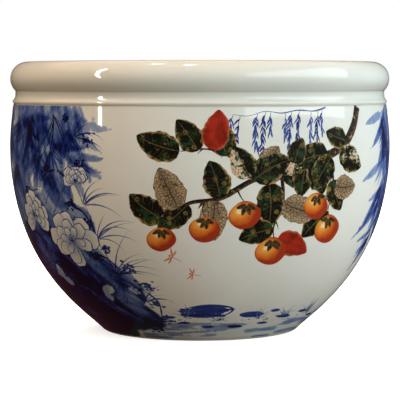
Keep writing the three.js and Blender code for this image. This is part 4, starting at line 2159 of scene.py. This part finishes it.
def planned_painting(ground: Ground) -> Painting:
    """The painting's layout.

    Args:
        ground: The wall to paint.

    Returns:
        The painting.
    """
    rock = GardenRock(
        Anchor(-47, 100),
        lobes=each(Lobe, (0, -20, 62, 62), (-25, 30, 48, 50), (20, 35, 34, 38), (38, -36, 48, 40),
                   (5, 75, 26, 30), (-70, -18, 60, 62), (-60, -56, 84, 34), (14, -84, 66, 36),
                   (-50, -110, 84, 46)),
        hollows=each(Lobe, (-34, -24, 7, 12), (-28, -36, 8, 6), (36, -42, 9, 6), (29, -51, 6, 9),
                     (70, -44, 7, 5)),
        moss=((24, 66, 9), (57, 140, 8), (45, 113, 7), (22, 164, 6), (48, 44, 8), (58, 14, 9), (80, -10, 10),
              (92, -34, 11), (88, -62, 9), (84, -92, 10), (58, -112, 9), (-12, 106, 8), (-58, 78, 9),
              (44, 4, 8)),
        contours=(
            ((-22, 92), (-8, 102), (10, 104), (26, 92), (30, 76), (22, 62)),
            ((24, 66), (42, 58), (52, 40), (50, 22), (38, 8)),
            ((40, 8), (58, 2), (68, -14), (62, -26)),
            ((62, -24), (76, -34), (80, -52), (68, -68)),
            ((-66, 40), (-62, 62), (-46, 78), (-26, 80), (-14, 68)),
            ((-40, -10), (-26, -9), (-18, -24), (-24, -42)),
            ((26, -36), (38, -33), (47, -42), (38, -58)),
            ((10, -30), (20, -48), (14, -68)),
            ((-40, 20), (-48, -4), (-44, -24)),
            ((84, -38), (92, -58), (84, -80), (70, -104)),
        ))
    left = Bamboo(
        Anchor(-52, 100),
        culms=((-46, 60, 172, 2, 0.20), (-2, 90, 172, -3, 0.30), (34, 60, 172, 5, 0.16),
               (-78, -40, 172, -2, 0.14)),
        veil=each(Lobe, (-34, 138, 84, 56), (20, 146, 58, 36), (-70, 84, 56, 64), (10, 112, 44, 34)),
        sprays=each(LeafSpray, (-60, 158, 0.40, 7, 46, -100, 120), (-30, 150, 0.50, 6, 44, -80, 110),
                    (2, 158, 0.30, 6, 42, -86, 120), (20, 128, 0.60, 5, 38, -62, 90),
                    (46, 150, 0.50, 6, 44, -70, 100), (58, 118, 0.42, 5, 34, -46, 80),
                    (-66, 110, 0.5, 5, 40, -104, 90), (-92, 140, 0.36, 6, 44, -90, 110),
                    (-8, 118, 0.34, 5, 36, -100, 100)))
    right = Bamboo(
        Anchor(76, 150), seed=13,
        culms=((-2, -92, 122, 4, 0.28), (30, -92, 122, -3, 0.36), (70, -80, 122, 2, 0.24)),
        veil=each(Lobe, (24, 72, 46, 54), (4, 98, 34, 36), (10, 0, 30, 40), (56, -36, 30, 40)),
        sprays=each(LeafSpray, (-18, 96, 0.84, 6, 40, -112, 80), (-20, 30, 0.84, 6, 40, -118, 80),
                    (-14, -34, 0.48, 5, 36, -122, 60), (2, 70, 0.42, 6, 46, -90, 120),
                    (18, 6, 0.56, 6, 44, -80, 110), (40, 96, 0.62, 6, 46, -70, 100),
                    (76, 60, 0.34, 5, 42, -70, 90), (52, -20, 0.68, 6, 40, -84, 100)))
    back = Bamboo(
        Anchor(178, 140), seed=17, mist=0.5,
        culms=((-52, -84, 92, 6, 0.28), (-8, -90, 128, -2, 0.55), (34, -84, 104, 5, 0.40),
               (64, -80, 40, 9, 0.22)),
        sprays=each(LeafSpray, (-40, 84, 0.5, 4, 40, -100, 80), (22, 112, 0.75, 5, 46, -80, 90),
                    (58, 60, 0.6, 5, 40, -62, 80), (-64, 30, 0.4, 4, 42, -116, 80)))
    low_rock = GardenRock(
        Anchor(170, 62), seed=8, strength=0.85,
        lobes=each(Lobe, (0, 0, 40, 34), (-30, -14, 34, 22), (34, -16, 40, 18), (8, 26, 20, 18)),
        hollows=each(Lobe, (2, 6, 7, 9), (-20, -4, 8, 5)),
        contours=(((-32, 8), (-22, 26), (-4, 40), (14, 42), (26, 30), (32, 14)),
                  ((30, 12), (46, 4), (62, -6), (72, -18)), ((-6, 22), (2, 8), (-2, -6)),
                  ((-36, 4), (-52, -2), (-62, -16))),
        moss=((30, 18, 7), (58, -8, 7), (-40, 6, 6)))
    far_orchids = Orchids(Anchor(196, 60), seed=27, clumps=((-8, -14, 70, 10, -14), (38, -26, 44, 7, 12)))
    willow = Willow(
        Anchor(24, 270), branch=((58, 2), (40, -2), (18, -1), (-2, -4), (-22, -2), (-42, -7), (-60, -5)),
        hangs=((0.05, 24, 14, 0.8), (0.10, 50, 20, 1.0), (0.19, 34, 18, 0.7), (0.33, 46, 22, 1.0),
               (0.40, 58, 24, 0.9), (0.47, 28, 16, 0.7), (0.62, 22, 18, 0.8), (0.68, 52, 26, 1.0),
               (0.76, 38, 22, 0.8), (0.93, 48, 30, 1.0), (0.985, 30, 40, 0.8)))
    orchids = Orchids(
        Anchor(-20, 100),
        clumps=((-30, -20, 66, 9, 30), (-46, 26, 58, 7, 34), (-60, 66, 54, 6, 30), (-4, -60, 46, 8, 12)))
    vines = Orchids(
        Anchor(-52, 100), seed=29, ink=1.9, level=3,
        clumps=((20, 168, 84, 5, 156), (-24, 166, 90, 5, 164), (58, 142, 52, 6, 52)))
    bank = Bank(
        Anchor(16, 26), reach=(-460, 460),
        tufts=((-58, 8, 26), (-22, 2, 18), (28, 3, 24), (66, 6, 20), (108, 4, 28), (150, 2, 22), (196, 4, 26),
               (262, 2, 20), (330, 6, 28), (-210, 4, 24), (-270, 2, 22), (-340, 5, 26), (-420, 2, 20)),
        stones=((-36, 20, 64, 26), (18, 12, 32, 12), (48, 17, 14, 6), (-78, 8, 16, 6), (-58, -2, 14, 5),
                (64, 4, 24, 7), (2, -10, 20, 6), (36, -6, 16, 5), (-30, -10, 16, 5), (96, 10, 18, 6),
                (-96, 0, 12, 5), (120, -2, 20, 6)))
    flies = Dragonflies(Anchor(-4, 96), places=((-14, 10, 152, 17), (8, -12, 168, 14)))
    bough = PersimmonBough(
        Anchor(12, 175),
        boughs=(
            (13, ((160, 98), (151, 76), (134, 56), (108, 44), (78, 40), (45, 22), (12, 18), (-25, -2),
                  (-60, -8), (-92, -30))),
            (4.5, ((12, 18), (-8, 40), (-38, 52), (-70, 50))),
            (4.5, ((45, 22), (48, -8), (38, -38), (44, -60))),
            (4.5, ((108, 44), (116, 14), (110, -20))),
        ),
        fruits=((38, -66, 40), (4, -22, 38), (-40, -38, 36), (112, -42, 40), (92, -14, 36), (-88, -50, 34)),
        leaves=(
            (-86, -26, 158, 50, 30, 0.1), (-70, -14, 120, 52, 33, 0.5), (-60, -8, 232, 44, 28, 0.2),
            (-70, 50, 172, 52, 32, 0.1), (-50, 50, 118, 42, 28, 0.2), (-38, 52, 60, 46, 30, 0.9),
            (-20, 44, 96, 46, 30, 0.1), (-25, -2, 100, 44, 30, 0.1), (-30, -4, 262, 48, 30, 0.5),
            (8, 20, 118, 40, 28, 0.35), (24, 26, 70, 34, 26, 0.55), (12, 18, 40, 50, 33, 0.15),
            (30, 14, 282, 52, 33, 0.1), (48, -8, 330, 52, 32, 0.5), (45, 22, 8, 50, 32, 0.35),
            (60, 34, 76, 32, 24, 0.1), (78, 40, 250, 44, 30, 0.1), (84, 40, 300, 44, 30, 0.2),
            (106, 44, 176, 46, 30, 0.15), (112, 42, 232, 46, 31, 0.1), (128, 50, 318, 44, 30, 0.35),
            (118, 8, 350, 38, 28, 0.5), (136, 60, 172, 34, 24, 0.1), (116, 16, 280, 40, 28, 0.1),
            (110, -20, 214, 46, 30, 0.1), (38, -38, 190, 42, 28, 0.15), (44, -50, 340, 46, 30, 0.9),
        ))
    blossoms = Blossoms(
        Anchor(-47, 100), heads=((16, 22, 37, 100, 0.82), (-50, 48, 30, 60, 0.7), (38, 92, 20, 70, 0.42)))
    return Painting(ground, (rock, low_rock), (left, right, back), willow, (orchids, far_orchids, vines),
                    bank, flies, bough, blossoms)


def level_corners(left: float, near: float, right: float, far: float, height: float) -> tuple[Place, ...]:
    """The corners of a level card."""
    return (left, near, height), (right, near, height), (right, far, height), (left, far, height)


LAMPS = (
    Panel("daylight_low", (1.5, -1.3, 0.45), (0.0, 0.0, 0.15), (1.4, 0.9), 6.1, (0.94, 0.97, 1.0)),
    Panel("daylight_high", (1.4, -1.1, 1.2), (0.0, 0.0, 0.2), (1.2, 1.0), 2.8, (0.48, 0.84, 1.0)),
    Panel("side", (-1.7, -1.0, 1.1), (0.0, 0.0, 0.2), (1.2, 1.4), 1.2, (1.0, 0.95, 0.84)),
    Panel("side_top", (-1.1, -0.4, 2.0), (0.0, 0.0, 0.3), (1.2, 1.2), 6.3, (1.0, 0.68, 0.48)),
    Panel("behind", (0.2, 2.6, 1.7), (0.0, 0.0, 0.2), (2.2, 1.6), 11.5, (1.0, 0.92, 0.80)),
    Panel("right_back", (2.2, 1.2, 0.7), (0.0, 0.0, 0.15), (1.4, 1.2), 7.2, (0.82, 0.88, 1.0)),
)
CARDS = (
    Card("window", ((1.0, -2.1, 0.68), (1.0, -0.06, 0.36), (1.0, 0.26, 1.16), (1.0, -1.92, 1.48)), 3.7,
         (0.93, 0.98, 1.0)),
    Card("ceiling", level_corners(-5.0, -5.0, 5.0, 5.0, 3.6), 0.75, (1.0, 0.80, 0.56)),
    Card("strip", ((-1.6, -1.07, 0.50), (-1.6, -0.98, 0.50), (-1.6, -0.43, 2.19), (-1.6, -0.53, 2.19)), 45.0,
         (1.0, 0.98, 0.95)),
    Card("warm_floor", level_corners(-0.5, -0.13, -0.085, 0.4, 0.002), 0.055, (1.0, 0.34, 0.42)),
    Card("ceiling_left", level_corners(-0.55, 0.34, -0.42, 0.46, 2.5), 48.0),
    Card("ceiling_right", level_corners(-0.20, -0.13, -0.04, -0.03, 2.5), 48.0),
)


def main() -> None:
    """Builds the bowl, its painting and the studio."""
    logging.basicConfig(level=logging.INFO, format="%(message)s")
    body = BodyCurve()
    foot = Foot(body)
    wall = Wall(body, foot.dish_height)
    mouth = Mouth(wall.shoulder_joint(), body.shoulder_radius, body.wall_at_shoulder)
    painting = planned_painting(Ground(body))
    glaze = Glaze().material("glaze")
    pool_and_shading_bands = mouth.pool_and_shading_bands() + foot.pool_and_shading_bands()
    for part in (foot, wall, mouth):
        for section in part.sections():
            section.build(pool_and_shading_bands, painting.wash, glaze)
    painting.build()
    Studio(LAMPS, CARDS).build()


if __name__ == "__main__":
    main()
